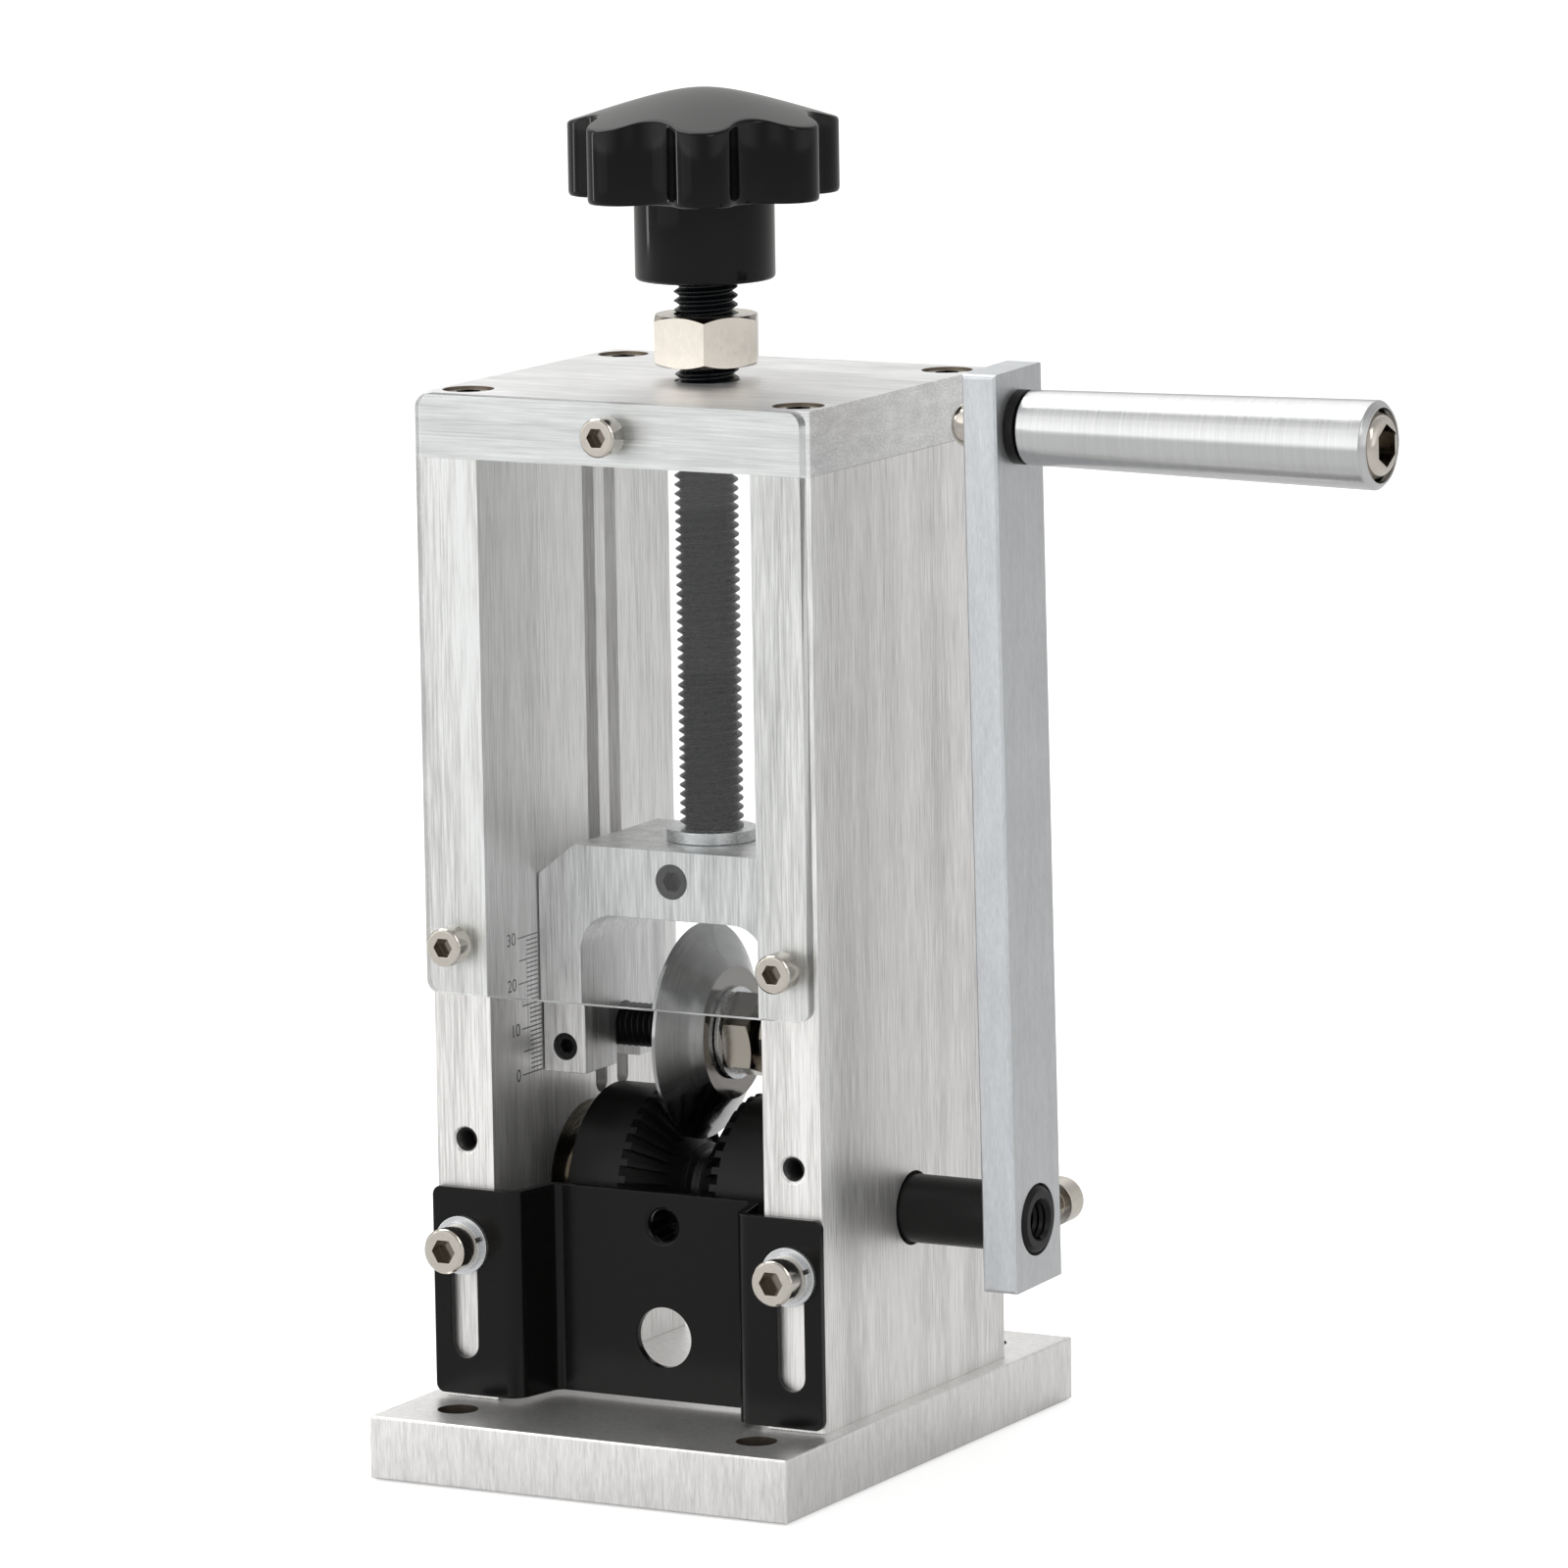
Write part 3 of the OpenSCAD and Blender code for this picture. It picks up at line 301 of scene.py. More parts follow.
def place_group(tree, group, inputs):
    """A copy of a node group in a tree; gives the copy's outputs."""
    return add_node(tree, "Group", inputs, node_tree=group).outputs


def new_material(name):
    """A material with a bare Principled shader; gives the material, its tree and shader."""
    material = bpy.data.materials.new(name)
    material.use_nodes = True
    tree = material.node_tree
    return material, tree, tree.nodes["Principled BSDF"]


def grey(value, blue=0.0):
    """A grey colour, a little bluer or, with a negative number, warmer."""
    return (value * (1 - blue), value, value * (1 + blue), 1)


# %% [markdown]
# Brushed metal
#
# A brush leaves thousands of fine parallel scratches. Noise that is squeezed across the
# brushing and drawn out along it gives just that. Two layers are mixed, because the real
# surface has hairlines and, under them, wider bands. The group also darkens the metal where
# a low, cloudy noise says that it was handled.

# %% Group: brushing
HAIRLINES, WIDE_BANDS = 0.65, 0.35
CLOUD_SCALE, HANDLED = 45, 0.12
brushing, g_in, g_out = new_group(
    "brushing",
    [("Place", "vector"), ("Colour", "colour"), ("Stretch", "vector"), ("Bands", "vector"),
     ("Contrast", "float"), ("Roughness", "float"), ("Spread", "float")],
    [("Colour", "colour"), ("Roughness", "float"), ("Height", "float")],
)
place = g_in.outputs["Place"]
layers = []
for stretch, detail in ((g_in.outputs["Stretch"], 4), (g_in.outputs["Bands"], 2)):
    squeezed = add_node(brushing, "VectorMath", {0: place, 1: stretch},
                        operation="MULTIPLY").outputs[0]
    layers.append(add_node(brushing, "TexNoise", {
        "Vector": squeezed, "Scale": 1, "Detail": detail, "Roughness": 0.65}).outputs["Fac"])
both = math_node(brushing, "ADD", math_node(brushing, "MULTIPLY", layers[0], HAIRLINES),
                 math_node(brushing, "MULTIPLY", layers[1], WIDE_BANDS))
swing = math_node(brushing, "SUBTRACT", both, 0.5)
cloud = add_node(brushing, "TexNoise", {
    "Vector": place, "Scale": CLOUD_SCALE, "Detail": 3, "Roughness": 0.5}).outputs["Fac"]
cloudy = math_node(brushing, "MULTIPLY", math_node(brushing, "SUBTRACT", cloud, 0.5), HANDLED)
gain = math_node(brushing, "ADD", math_node(
    brushing, "ADD", math_node(brushing, "MULTIPLY", swing, g_in.outputs["Contrast"]), 1), cloudy)
toned = add_node(brushing, "VectorMath", {0: g_in.outputs["Colour"], 3: gain}, operation="SCALE")
brushing.links.new(toned.outputs[0], g_out.inputs["Colour"])
brushing.links.new(math_node(brushing, "ADD", g_in.outputs["Roughness"], math_node(
    brushing, "MULTIPLY", swing, g_in.outputs["Spread"])), g_out.inputs["Roughness"])
brushing.links.new(both, g_out.inputs["Height"])
print("brushing group:", len(brushing.nodes), "nodes")


# %% [markdown]
# Turned metal
#
# A lathe leaves its fine marks round an axis, not along a line. This group bends the
# coordinates for the brushing: it gives the place along X, then the radius, and last a slow
# value that only keeps a ring from being the same all the way round.

# %% Group: round the axis
lathe, g_in, g_out = new_group("round_the_axis", [("Place", "vector")], [("Place", "vector")])
spot = add_node(lathe, "SeparateXYZ", {0: g_in.outputs["Place"]}).outputs
flat = add_node(lathe, "CombineXYZ", {"Y": spot["Y"], "Z": spot["Z"]}).outputs[0]
radius = add_node(lathe, "VectorMath", {0: flat}, operation="LENGTH").outputs["Value"]
slow = math_node(lathe, "ADD", math_node(lathe, "MULTIPLY", spot["Y"], 0.8),
                 math_node(lathe, "MULTIPLY", spot["Z"], 0.6))
bent = add_node(lathe, "CombineXYZ", {"X": spot["X"], "Y": radius, "Z": slow}).outputs[0]
lathe.links.new(bent, g_out.inputs["Place"])
print("round the axis:", len(lathe.nodes), "nodes")

# %% [markdown]
# From brushing to a metal
#
# One function makes every metal here, with other numbers. It also reads the attribute
# "marked", which the script sets on faces inside a socket or a hole and on a few other
# faces, 1 at the darkest. These faces are mixed towards a dark brown: painted shade, and on
# the blade's face a painted dark reflection.

# %% A brushed metal made with the groups
# The dark brown of painted shade, mixed into a face as far as its attribute "marked" says
PAINTED_SHADE_BROWN = (0.19, 0.16, 0.13, 1)


def middle_of(node):
    low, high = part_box(node)
    return (low + high) / 2


def brushed_metal(name, colour, stretch, bands, contrast, roughness, spread=0.3, bump=0.03,
                  metallic=0.9, axis_at=None):
    """A metal with scratches; stretch and bands say how many there are to a metre."""
    material, tree, shader = new_material(name)
    place = object_place(tree)
    if axis_at is not None:
        centred = add_node(tree, "Mapping", {"Vector": place, "Location": -axis_at}).outputs[0]
        place = place_group(tree, lathe, {"Place": centred})["Place"]
    brushed = place_group(tree, brushing, {
        "Place": place, "Colour": colour, "Stretch": stretch, "Bands": bands,
        "Contrast": contrast, "Roughness": roughness, "Spread": spread})
    # How much painted shade this face takes
    marked = add_node(tree, "Attribute", attribute_name="marked").outputs["Fac"]
    feed(tree, shader, {
        "Base Color": mix_colours(tree, marked, brushed["Colour"], PAINTED_SHADE_BROWN),
        "Roughness": brushed["Roughness"], "Normal": relief(tree, brushed["Height"], bump),
        "Metallic": metallic})
    return material


wall_aluminium = brushed_metal("wall_aluminium", grey(0.87, -0.012), (2800, 2800, 75),
                               (90, 90, 4), 2.2, 0.42, spread=0.5)
plate_aluminium = brushed_metal("plate_aluminium", grey(0.83), (60, 1100, 2600),
                                (20, 120, 300), 1.4, 0.42)
base_aluminium = brushed_metal("base_aluminium", grey(0.87, -0.01), (3800, 3800, 260),
                               (900, 900, 120), 1.1, 0.34, bump=0.05)
carrier_aluminium = brushed_metal("carrier_aluminium", grey(0.72), (2200, 2200, 80),
                                  (250, 250, 30), 2.4, 0.36, spread=0.5)
zinc_bar = brushed_metal("zinc_bar", grey(0.74, 0.035), (2600, 2600, 420), (400, 400, 60),
                         0.7, 0.36)
zinc_steel = brushed_metal("zinc_steel", grey(0.72, 0.02), (900, 900, 900), (300, 300, 300),
                           0.15, 0.26, bump=0.005)
nickel_steel = brushed_metal("nickel_steel", (0.67, 0.63, 0.57, 1), (1500, 1500, 1500),
                             (500, 500, 500), 0.3, 0.15, bump=0.005, metallic=1)
nut_nickel = brushed_metal("nut_nickel", (0.95, 0.885, 0.795, 1), (900, 900, 500),
                           (200, 200, 150), 0.16, 0.24, bump=0.02, metallic=1)
nut_steel = brushed_metal("nut_steel", (0.42, 0.39, 0.34, 1), (1200, 1200, 1200),
                          (300, 300, 300), 0.4, 0.2, bump=0.02, metallic=1)
bright_steel = brushed_metal("bright_steel", grey(0.62, 0.01), (4200, 50, 50),
                             (900, 30, 30), 0.45, 0.21, spread=0.2, metallic=1)
bearing_steel = brushed_metal("bearing_steel", (0.55, 0.5, 0.42, 1), (900, 2500, 60),
                              (300, 700, 40), 0.4, 0.25, metallic=1,
                              axis_at=middle_of("shaft"))
blade_steel = brushed_metal("blade_steel", grey(0.35, 0.01), (900, 2200, 90),
                            (300, 420, 60), 0.8, 0.15, spread=0.2, metallic=1,
                            axis_at=middle_of("blade"))
bronze = brushed_metal("bronze", (0.50, 0.30, 0.14, 1), (800, 800, 800), (200, 200, 200),
                       0.3, 0.4, metallic=1)
insert_brass = brushed_metal("insert_brass", (0.68, 0.5, 0.22, 1), (800, 800, 800),
                             (200, 200, 200), 0.3, 0.35, metallic=1)

# %% [markdown]
# Dark finishes
#
# Oxide blacking, stove paint and moulded phenolic are all black, and only their gloss and
# grain tell them apart. One group gives a speckled colour and a fine grain, and each
# material sets how strong both are.

# %% Group: speckle
speckle, g_in, g_out = new_group(
    "speckle",
    [("Colour", "colour"), ("Speck colour", "colour"), ("Speck scale", "float"),
     ("Speck share", "float"), ("Roughness", "float"), ("Spread", "float"),
     ("Grain scale", "float")],
    [("Colour", "colour"), ("Roughness", "float"), ("Height", "float")],
)
place = object_place(speckle)
specks = add_node(speckle, "TexNoise", {"Vector": place, "Scale": g_in.outputs["Speck scale"],
                                        "Detail": 6, "Roughness": 0.75}).outputs["Fac"]
cut = add_node(speckle, "MapRange", {
    "Value": specks, "From Min": math_node(speckle, "SUBTRACT", 0.78, g_in.outputs["Speck share"]),
    "From Max": 0.85, "To Min": 0, "To Max": 1}).outputs[0]
mixed = mix_colours(speckle, cut, g_in.outputs["Colour"], g_in.outputs["Speck colour"])
grain = add_node(speckle, "TexNoise", {"Vector": place, "Scale": g_in.outputs["Grain scale"],
                                       "Detail": 3}).outputs["Fac"]
speckle.links.new(mixed, g_out.inputs["Colour"])
speckle.links.new(math_node(speckle, "ADD", g_in.outputs["Roughness"], math_node(
    speckle, "MULTIPLY", math_node(speckle, "SUBTRACT", grain, 0.5), g_in.outputs["Spread"])),
    g_out.inputs["Roughness"])
speckle.links.new(grain, g_out.inputs["Height"])
print("speckle group:", len(speckle.nodes), "nodes")


# %% Dark materials made with the group
def dark_finish(name, colour, speck_colour, speck_scale, speck_share, roughness, spread,
                grain_scale, bump, specular, metallic=0.0):
    """A near-black finish with lighter specks; the scales count specks and grains."""
    material, tree, shader = new_material(name)
    specked = place_group(tree, speckle, {
        "Colour": colour, "Speck colour": speck_colour, "Speck scale": speck_scale,
        "Speck share": speck_share, "Roughness": roughness, "Spread": spread,
        "Grain scale": grain_scale})
    feed(tree, shader, {
        "Base Color": specked["Colour"], "Roughness": specked["Roughness"],
        "Normal": relief(tree, specked["Height"], bump),
        "Metallic": metallic, "Specular IOR Level": specular})
    return material


black_oxide = dark_finish("black_oxide_steel", grey(0.010), grey(0.10), 900, 0.12, 0.36, 0.25,
                          1500, 0.06, metallic=0.2, specular=0.25)
black_thread = dark_finish("black_thread_steel", grey(0.005, 0.3), grey(0.45), 1500, 0.13, 0.28,
                           0.25, 2500, 0.08, metallic=0.15, specular=0.32)
black_paint = dark_finish("black_paint", grey(0.004), grey(0.02), 500, 0.05, 0.20, 0.08, 350, 0.03,
                          specular=0.22)
black_phenolic = dark_finish("black_phenolic", grey(0.002), grey(0.006), 300, 0.04, 0.08, 0.04,
                             120, 0.02, specular=0.24)
# The plug's own dark steel; the same material is also the painted shade in the spare holes
plug_steel_and_hole_shade = dark_finish("plug_steel_and_hole_shade", grey(0.055), grey(0.085), 700, 0.10, 0.33, 0.10,
                         600, 0.02, metallic=0.5, specular=0.4)

# %% [markdown]
# Clear acrylic
#
# The shield is seen almost only by its sawn edges, which gather light, and by the slight
# grey that it lays over what is behind it. Rays from the camera meet it as glass, at its
# front and at its back. Rays that look for a lamp, and rays that leave the metal behind it,
# pass straight through, or the metal would stand in the shield's shadow. Blender also calls
# a ray glossy when glass let it through, so such rays are taken out again.

# %% Acrylic
HAZE, SAWN_ROUGHNESS = 0.03, 0.3
clear_acrylic, tree, shader = new_material("clear_acrylic")
tint = add_node(tree, "TexNoise", {
    "Vector": object_place(tree), "Scale": 30, "Detail": 2}).outputs["Fac"]
haze = add_node(tree, "MapRange", {"Value": tint, "To Min": 0.0, "To Max": HAZE}).outputs[0]
marked = add_node(tree, "Attribute", attribute_name="marked").outputs["Fac"]
sawn = math_node(tree, "MULTIPLY", marked, SAWN_ROUGHNESS)
feed(tree, shader, {
    "Transmission Weight": 1, "IOR": 1.49, "Specular IOR Level": 0.25, "Metallic": 0,
    "Roughness": math_node(tree, "ADD", haze, sawn),
    "Base Color": mix_colours(tree, tint, (0.94, 0.95, 0.96, 1), (0.97, 0.98, 0.98, 1))})
through = add_node(tree, "BsdfTransparent", {"Color": (0.95, 0.96, 0.96, 1)})
ray = add_node(tree, "LightPath").outputs
from_metal = math_node(tree, "SUBTRACT", math_node(
    tree, "MAXIMUM", ray["Is Diffuse Ray"], ray["Is Glossy Ray"]), ray["Is Transmission Ray"])
passes = math_node(tree, "MAXIMUM", from_metal, ray["Is Shadow Ray"])
feed(tree, tree.nodes["Material Output"], {
    "Surface": mix_shaders(tree, passes, shader.outputs[0], through.outputs[0])})
print("acrylic:", len(tree.nodes), "nodes")

# %% [markdown]
# Dressing the solids
#
# Plates get a broken edge of a quarter of a millimetre, small turned pieces less. Each row
# says the node and the size of its rounded edge; the material comes from the node's slot,
# or from own_finish.

# %% Plates, walls and other solids
finishes = {
    "base_aluminium": base_aluminium, "wall_aluminium": wall_aluminium,
    "plate_aluminium": plate_aluminium, "zinc_steel": zinc_steel,
    "nickel_steel": nickel_steel, "clear_acrylic": clear_acrylic,
    "black_paint": black_paint, "bearing_steel": bearing_steel,
    "black_oxide_steel": black_oxide, "zinc_bar": zinc_bar, "bright_steel": bright_steel,
    "carrier_aluminium": carrier_aluminium, "nut_steel": nut_steel,
    "blade_steel": blade_steel, "bronze": bronze, "black_thread_steel": black_thread,
    "nut_nickel": nut_nickel, "black_phenolic": black_phenolic,
    "insert_brass": insert_brass,
}
edge_of = {
    "base_plate": 0, "left_wall": 0.25, "right_wall": 0.25, "top_plate": 0.25,
    "base_screws": 0, "top_screws": 0, "shield": 0.2, "shield_screws": 0.15,
    "guide_bracket": 0.3, "bracket_screws": 0.2, "bracket_washers": 0.15,
    "bracket_spring_washers": 0.12, "bearing_outer_rings": 0, "bearing_inner_rings": 0,
    "shaft": 0.15, "shaft_spacers": 0, "roller_left": 0.08, "roller_right": 0.08,
    "roller_grub_screws": 0, "crank_arm": 0.15, "arm_clamp_screw": 0.2, "handle_bolt": 0,
    "handle_washer": 0.2, "handle_sleeve": 0.25, "carrier": 0.2, "carrier_set_screw": 0.15,
    "screw_retainer": 0.15, "axle_nuts": 0.15, "axle_washers": 0.1, "blade": 0.05,
    "blade_bush": 0, "thrust_collar": 0.3, "lock_nut": 0.25, "knob_insert": 0,
}
own_finish = {"thrust_collar": zinc_steel, "screw_retainer": plug_steel_and_hole_shade}
dressed_of = {node: dressed(node, edge) for node, edge in edge_of.items()}

# %% [markdown]
# The handle bolt's head
#
# The head stands a millimetre proud of the handle and has a broad rounded edge. The end of
# the copy is moved out along the bolt, which draws its straight sides along, and the round
# rim alone is picked by its radius and bevelled.

# %% Raise and round the head
HEAD_PROUD, HEAD_ROUND = 1.0, 1.5
bolt = dressed_of["handle_bolt"]
bolt_axis = middle_of("handle_bolt")
bolt_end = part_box("handle_bolt")[1].x
raise_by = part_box("handle_sleeve")[1].x + HEAD_PROUD * mm - bolt_end


def off_bolt(point):
    return math.hypot(point.y - bolt_axis.y, point.z - bolt_axis.z)


at_end = {v.index for v in bolt.data.vertices if v.co.x > bolt_end - 0.02 * mm}
rim = max(off_bolt(bolt.data.vertices[i].co) for i in at_end)
for number in at_end:
    bolt.data.vertices[number].co.x += raise_by
into_mesh(bolt, "DESELECT")
bpy.ops.mesh.select_mode(type="EDGE")
out_of_mesh()
for edge in bolt.data.edges:
    edge.select = all(i in at_end and off_bolt(bolt.data.vertices[i].co) > rim - 0.1 * mm
                      for i in edge.vertices)
bpy.ops.object.mode_set(mode="EDIT")
bpy.ops.mesh.bevel(offset=HEAD_ROUND * mm, segments=5, affect="EDGES")
bpy.ops.mesh.select_mode(type="VERT")
out_of_mesh()
smooth(bolt, 40)
print("head raised by", round(raise_by / mm, 2), "mm; rim radius", round(rim / mm, 2), "mm")

# %% [markdown]
# Painted shade in sockets and holes
#
# The attribute "marked" is one number per face: how much painted shade the face takes. A
# screw's socket is found by its walls, the only faces of a screw that look towards its
# axis. What lies within their reach, below the end of the head, belongs to the socket.
# Holes in plates are marked round a given line.


# %% Find the loose parts of a mesh, and mark faces
def loose_parts(mesh):
    """The vertices of each loose part of a mesh, as lists of their numbers."""
    leader = list(range(len(mesh.vertices)))

    def lead(i):
        while leader[i] != i:
            leader[i] = leader[leader[i]]
            i = leader[i]
        return i

    for edge in mesh.edges:
        leader[lead(edge.vertices[0])] = lead(edge.vertices[1])
    parts = {}
    for i in range(len(leader)):
        parts.setdefault(lead(i), []).append(i)
    return list(parts.values())


def box_of(mesh, numbers):
    spots = [mesh.vertices[i].co for i in numbers]
    return (Vector([min(s[i] for s in spots) for i in range(3)]),
            Vector([max(s[i] for s in spots) for i in range(3)]))


def mark(piece, wanted, value=1):
    """Sets "marked" to a value on the faces for which wanted(face) is true."""
    marks = piece.data.attributes.get("marked") or piece.data.attributes.new(
        "marked", "FLOAT", "FACE")
    chosen = [face.index for face in piece.data.polygons if wanted(face)]
    for number in chosen:
        marks.data[number].value = value
    print(piece.name, len(chosen), "faces marked")


def mark_holes(piece, axis, centres, reach):
    """Marks the faces within reach of lines along an axis; reach in mm, centres in metres."""
    def wanted(face):
        for centre in centres:
            offs = [piece.data.vertices[i].co - centre for i in face.vertices]
            for off in offs:
                off[axis] = 0
            if all(off.length < reach * mm for off in offs):
                return True
        return False
    mark(piece, wanted)


def mark_sockets(piece, value):
    mesh = piece.data
    inside = set()
    for numbers in loose_parts(mesh):
        low, high = box_of(mesh, numbers)
        axis = max(range(3), key=lambda i: high[i] - low[i])

        def off(point):
            away = point - (low + high) / 2
            away[axis] = 0
            return away

        own = set(numbers)
        faces = [face for face in mesh.polygons if face.vertices[0] in own]
        walls = [face for face in faces if off(face.center).length > 0.1 * mm
                 and face.normal.dot(off(face.center).normalized()) < -0.5]
        reach = max([off(mesh.vertices[i].co).length for f in walls for i in f.vertices],
                    default=0) + 0.02 * mm
        for face in faces:
            depth = min(high[axis] - face.center[axis], face.center[axis] - low[axis])
            if depth > 0.1 * mm and all(
                    off(mesh.vertices[i].co).length < reach for i in face.vertices):
                inside.add(face.index)
    mark(piece, lambda face: face.index in inside, value)


# %% Paint shade into the sockets of the screws and the holes of the plates
TOP_HOLE_R, SPARE_HOLE_R = 5.7, 2.6
SPARE_HOLES = {"left": (-40.5, -41.0, 71.3), "right": (40.5, -41.0, 71.3)}
# Painted shade in each screw's socket, as strong as its number
for node, value in (("shield_screws", 0.9), ("bracket_screws", 0.9), ("top_screws", 1),
                    ("handle_bolt", 0.4), ("arm_clamp_screw", 1), ("carrier_set_screw", 1)):
    mark_sockets(dressed_of[node], value)
screw_mesh = dressed_of["top_screws"].data
top_holes = [sum(box_of(screw_mesh, numbers), Vector()) / 2 for numbers in loose_parts(screw_mesh)]
# Painted shade in the top plate's holes and in the walls' spare holes
mark_holes(dressed_of["top_plate"], 2, top_holes, TOP_HOLE_R)
for side, spot in SPARE_HOLES.items():
    mark_holes(dressed_of[side + "_wall"], 1, [Vector(spot) * mm], SPARE_HOLE_R)

# %% Mark the sawn edges of the shield, and faces that take painted shade
SMALL = 12 * mm * mm
mark(dressed_of["shield"], lambda face: abs(face.normal.y) < 0.7)
# Painted shade on the arm's faces that look along X
mark(dressed_of["crank_arm"], lambda face: abs(face.normal.x) > 0.9, 0.22)
# Painted shade on the chamfers and small faces of the nuts
for node, axis, value in (("lock_nut", 2, 0.85), ("axle_nuts", 0, 0.6)):
    mark(dressed_of[node], lambda face: abs(face.normal[axis]) < 0.97 and (
        face.area < SMALL or abs(face.normal[axis]) > 0.1), value)
# A painted dark reflection on the blade's flat face
mark(dressed_of["blade"], lambda face: face.normal.x > 0.9, 0.5)
# Painted shade on the walls of the base plate's holes
base_low, base_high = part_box("base_plate")
mark(dressed_of["base_plate"], lambda face: abs(face.normal.z) < 0.5 and all(
    base_low[i] + mm < face.center[i] < base_high[i] - mm for i in (0, 1)))

# %% Seat the dressed solids
dressed_of["thrust_collar"]["finish"] = "zinc_steel"
for node, piece in dressed_of.items():
    seat(piece, own_finish.get(node, finishes[slot_of[node]]), [node])

# %% [markdown]
# The bolt's end behind the arm
#
# The handle's bolt comes through the arm and ends in a round cap on its far side. A short
# cylinder lies along the bolt's axis, and a wide bevel of its outer end makes the dome.

# %% The domed cap
CAP_R, CAP_H, CAP_ROUND = 5.0, 7.2, 3.2
CAP_LAP = 0.05  # how far the cap reaches into the arm
arm_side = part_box("crank_arm")[0].x
pick_none()
bpy.ops.mesh.primitive_cylinder_add(
    vertices=64, radius=CAP_R * mm, depth=CAP_H * mm, rotation=(0, -math.pi / 2, 0),
    location=(arm_side - (CAP_H / 2 - CAP_LAP) * mm, bolt_axis.y, bolt_axis.z))
cap = bpy.context.object
cap.name = "handle_bolt_cap"
settle(cap)
bevel_ends(cap, lambda face: face.normal.x < -0.9, CAP_ROUND, 6)
smooth(cap, 50)
cap["finish"] = "nickel_steel"
seat(cap, nickel_steel, body=body_of["handle_bolt"])

# %% [markdown]
# Screw threads
#
# A thread is one small tooth drawn once and swept up a helix. The tooth's outline is an
# open line from root to crest to root, as high as the pitch, so that each turn ends where
# the next begins. The Screw modifier turns it and the ends are cut off flat with bisect.


# %% Draw a line, and sweep it into a thread
def draw_line(name, points):
    """An open line through points of (radius, height) in mm, drawn from one vertex."""
    pick_none()
    bpy.ops.mesh.primitive_plane_add(size=mm, location=(0, 0, 0))
    piece = bpy.context.object
    piece.name = name
    into_mesh(piece)
    bpy.ops.mesh.merge(type="CENTER")
    bpy.ops.transform.translate(value=(points[0][0] * mm, 0, points[0][1] * mm))
    for (r0, z0), (r1, z1) in zip(points, points[1:]):
        bpy.ops.mesh.extrude_region_move(
            TRANSFORM_OT_translate={"value": ((r1 - r0) * mm, 0, (z1 - z0) * mm)})
    out_of_mesh()
    return piece


def thread(name, crest, root, pitch, start, end, steps):
    """A right-hand outside thread about Z with flat closed ends; all in mm."""
    flat = pitch / 8
    rise = (pitch - 2 * flat) / 2
    piece = draw_line(name, [(root, 0), (root, flat), (crest, flat + rise),
                             (crest, 2 * flat + rise), (root, pitch)])
    screw = piece.modifiers.new("sweep", "SCREW")
    screw.screw_offset = pitch * mm
    screw.iterations = math.ceil((end - start) / pitch) + 2
    screw.steps = screw.render_steps = steps
    screw.use_merge_vertices = True
    screw.merge_threshold = MERGE
    apply_modifiers(piece)
    piece.location.z = (start - 1.5 * pitch) * mm
    settle(piece)
    clean(piece)
    for level_z, upward in ((start, False), (end, True)):
        into_mesh(piece)
        bpy.ops.mesh.bisect(plane_co=(0, 0, level_z * mm), plane_no=(0, 0, 1), use_fill=True,
                            clear_inner=not upward, clear_outer=upward)
        out_of_mesh()
    clean(piece)
    smooth(piece, 25)
    return piece


# %% The adjusting screw: M14 with a pitch of 2 mm
LIFT_Y = -0.75  # the screw and the blade stand a little before the machine's middle
SPIGOT_R, SPIGOT_EDGE = 4.98, 0.3  # the plain end that turns in the carrier
low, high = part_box("adjusting_screw")
collar_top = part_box("thrust_collar")[1].z / mm
rod = thread("adjusting_screw_thread", crest=6.95, root=5.80, pitch=2.0, start=collar_top,
             end=high.z / mm, steps=40)
spigot_h = collar_top - low.z / mm
pick_none()
bpy.ops.mesh.primitive_cylinder_add(vertices=48, radius=SPIGOT_R * mm, depth=spigot_h * mm,
                                    location=(0, 0, (low.z / mm + spigot_h / 2) * mm))
spigot = bpy.context.object
into_mesh(spigot)
bpy.ops.mesh.bevel(offset=SPIGOT_EDGE * mm, segments=1, affect="EDGES")
out_of_mesh()
smooth(spigot)
rod = join("adjusting_screw_thread", [rod, spigot])
rod.location.y = LIFT_Y * mm
seat(rod, black_thread, ["adjusting_screw"])

# %% The blade's axle: M10 with a pitch of 1.5 mm
low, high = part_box("axle_rod")
length = (high.x - low.x) / mm
axle = thread("axle_thread", crest=4.96, root=4.08, pitch=1.5, start=-length / 2,
              end=length / 2, steps=32)
axle.rotation_euler = (0, math.pi / 2, 0)
axle.location = ((low.x + high.x) / 2, LIFT_Y * mm, (low.z + high.z) / 2)
seat(axle, black_oxide, ["axle_rod"])


# %% [markdown]
# Threads inside holes
#
# A tapped hole shows as a dark mouth with a few bright rings in it. A small ridge with a
# three-sided section is swept down the hole's wall, its back just under the metal.

# %% Ridges in the tapped holes
RIDGE_LAP = 0.05  # how far a ridge reaches into the metal
SHAFT_MOUTH = 1.2  # depth at which the ridge in the shaft begins


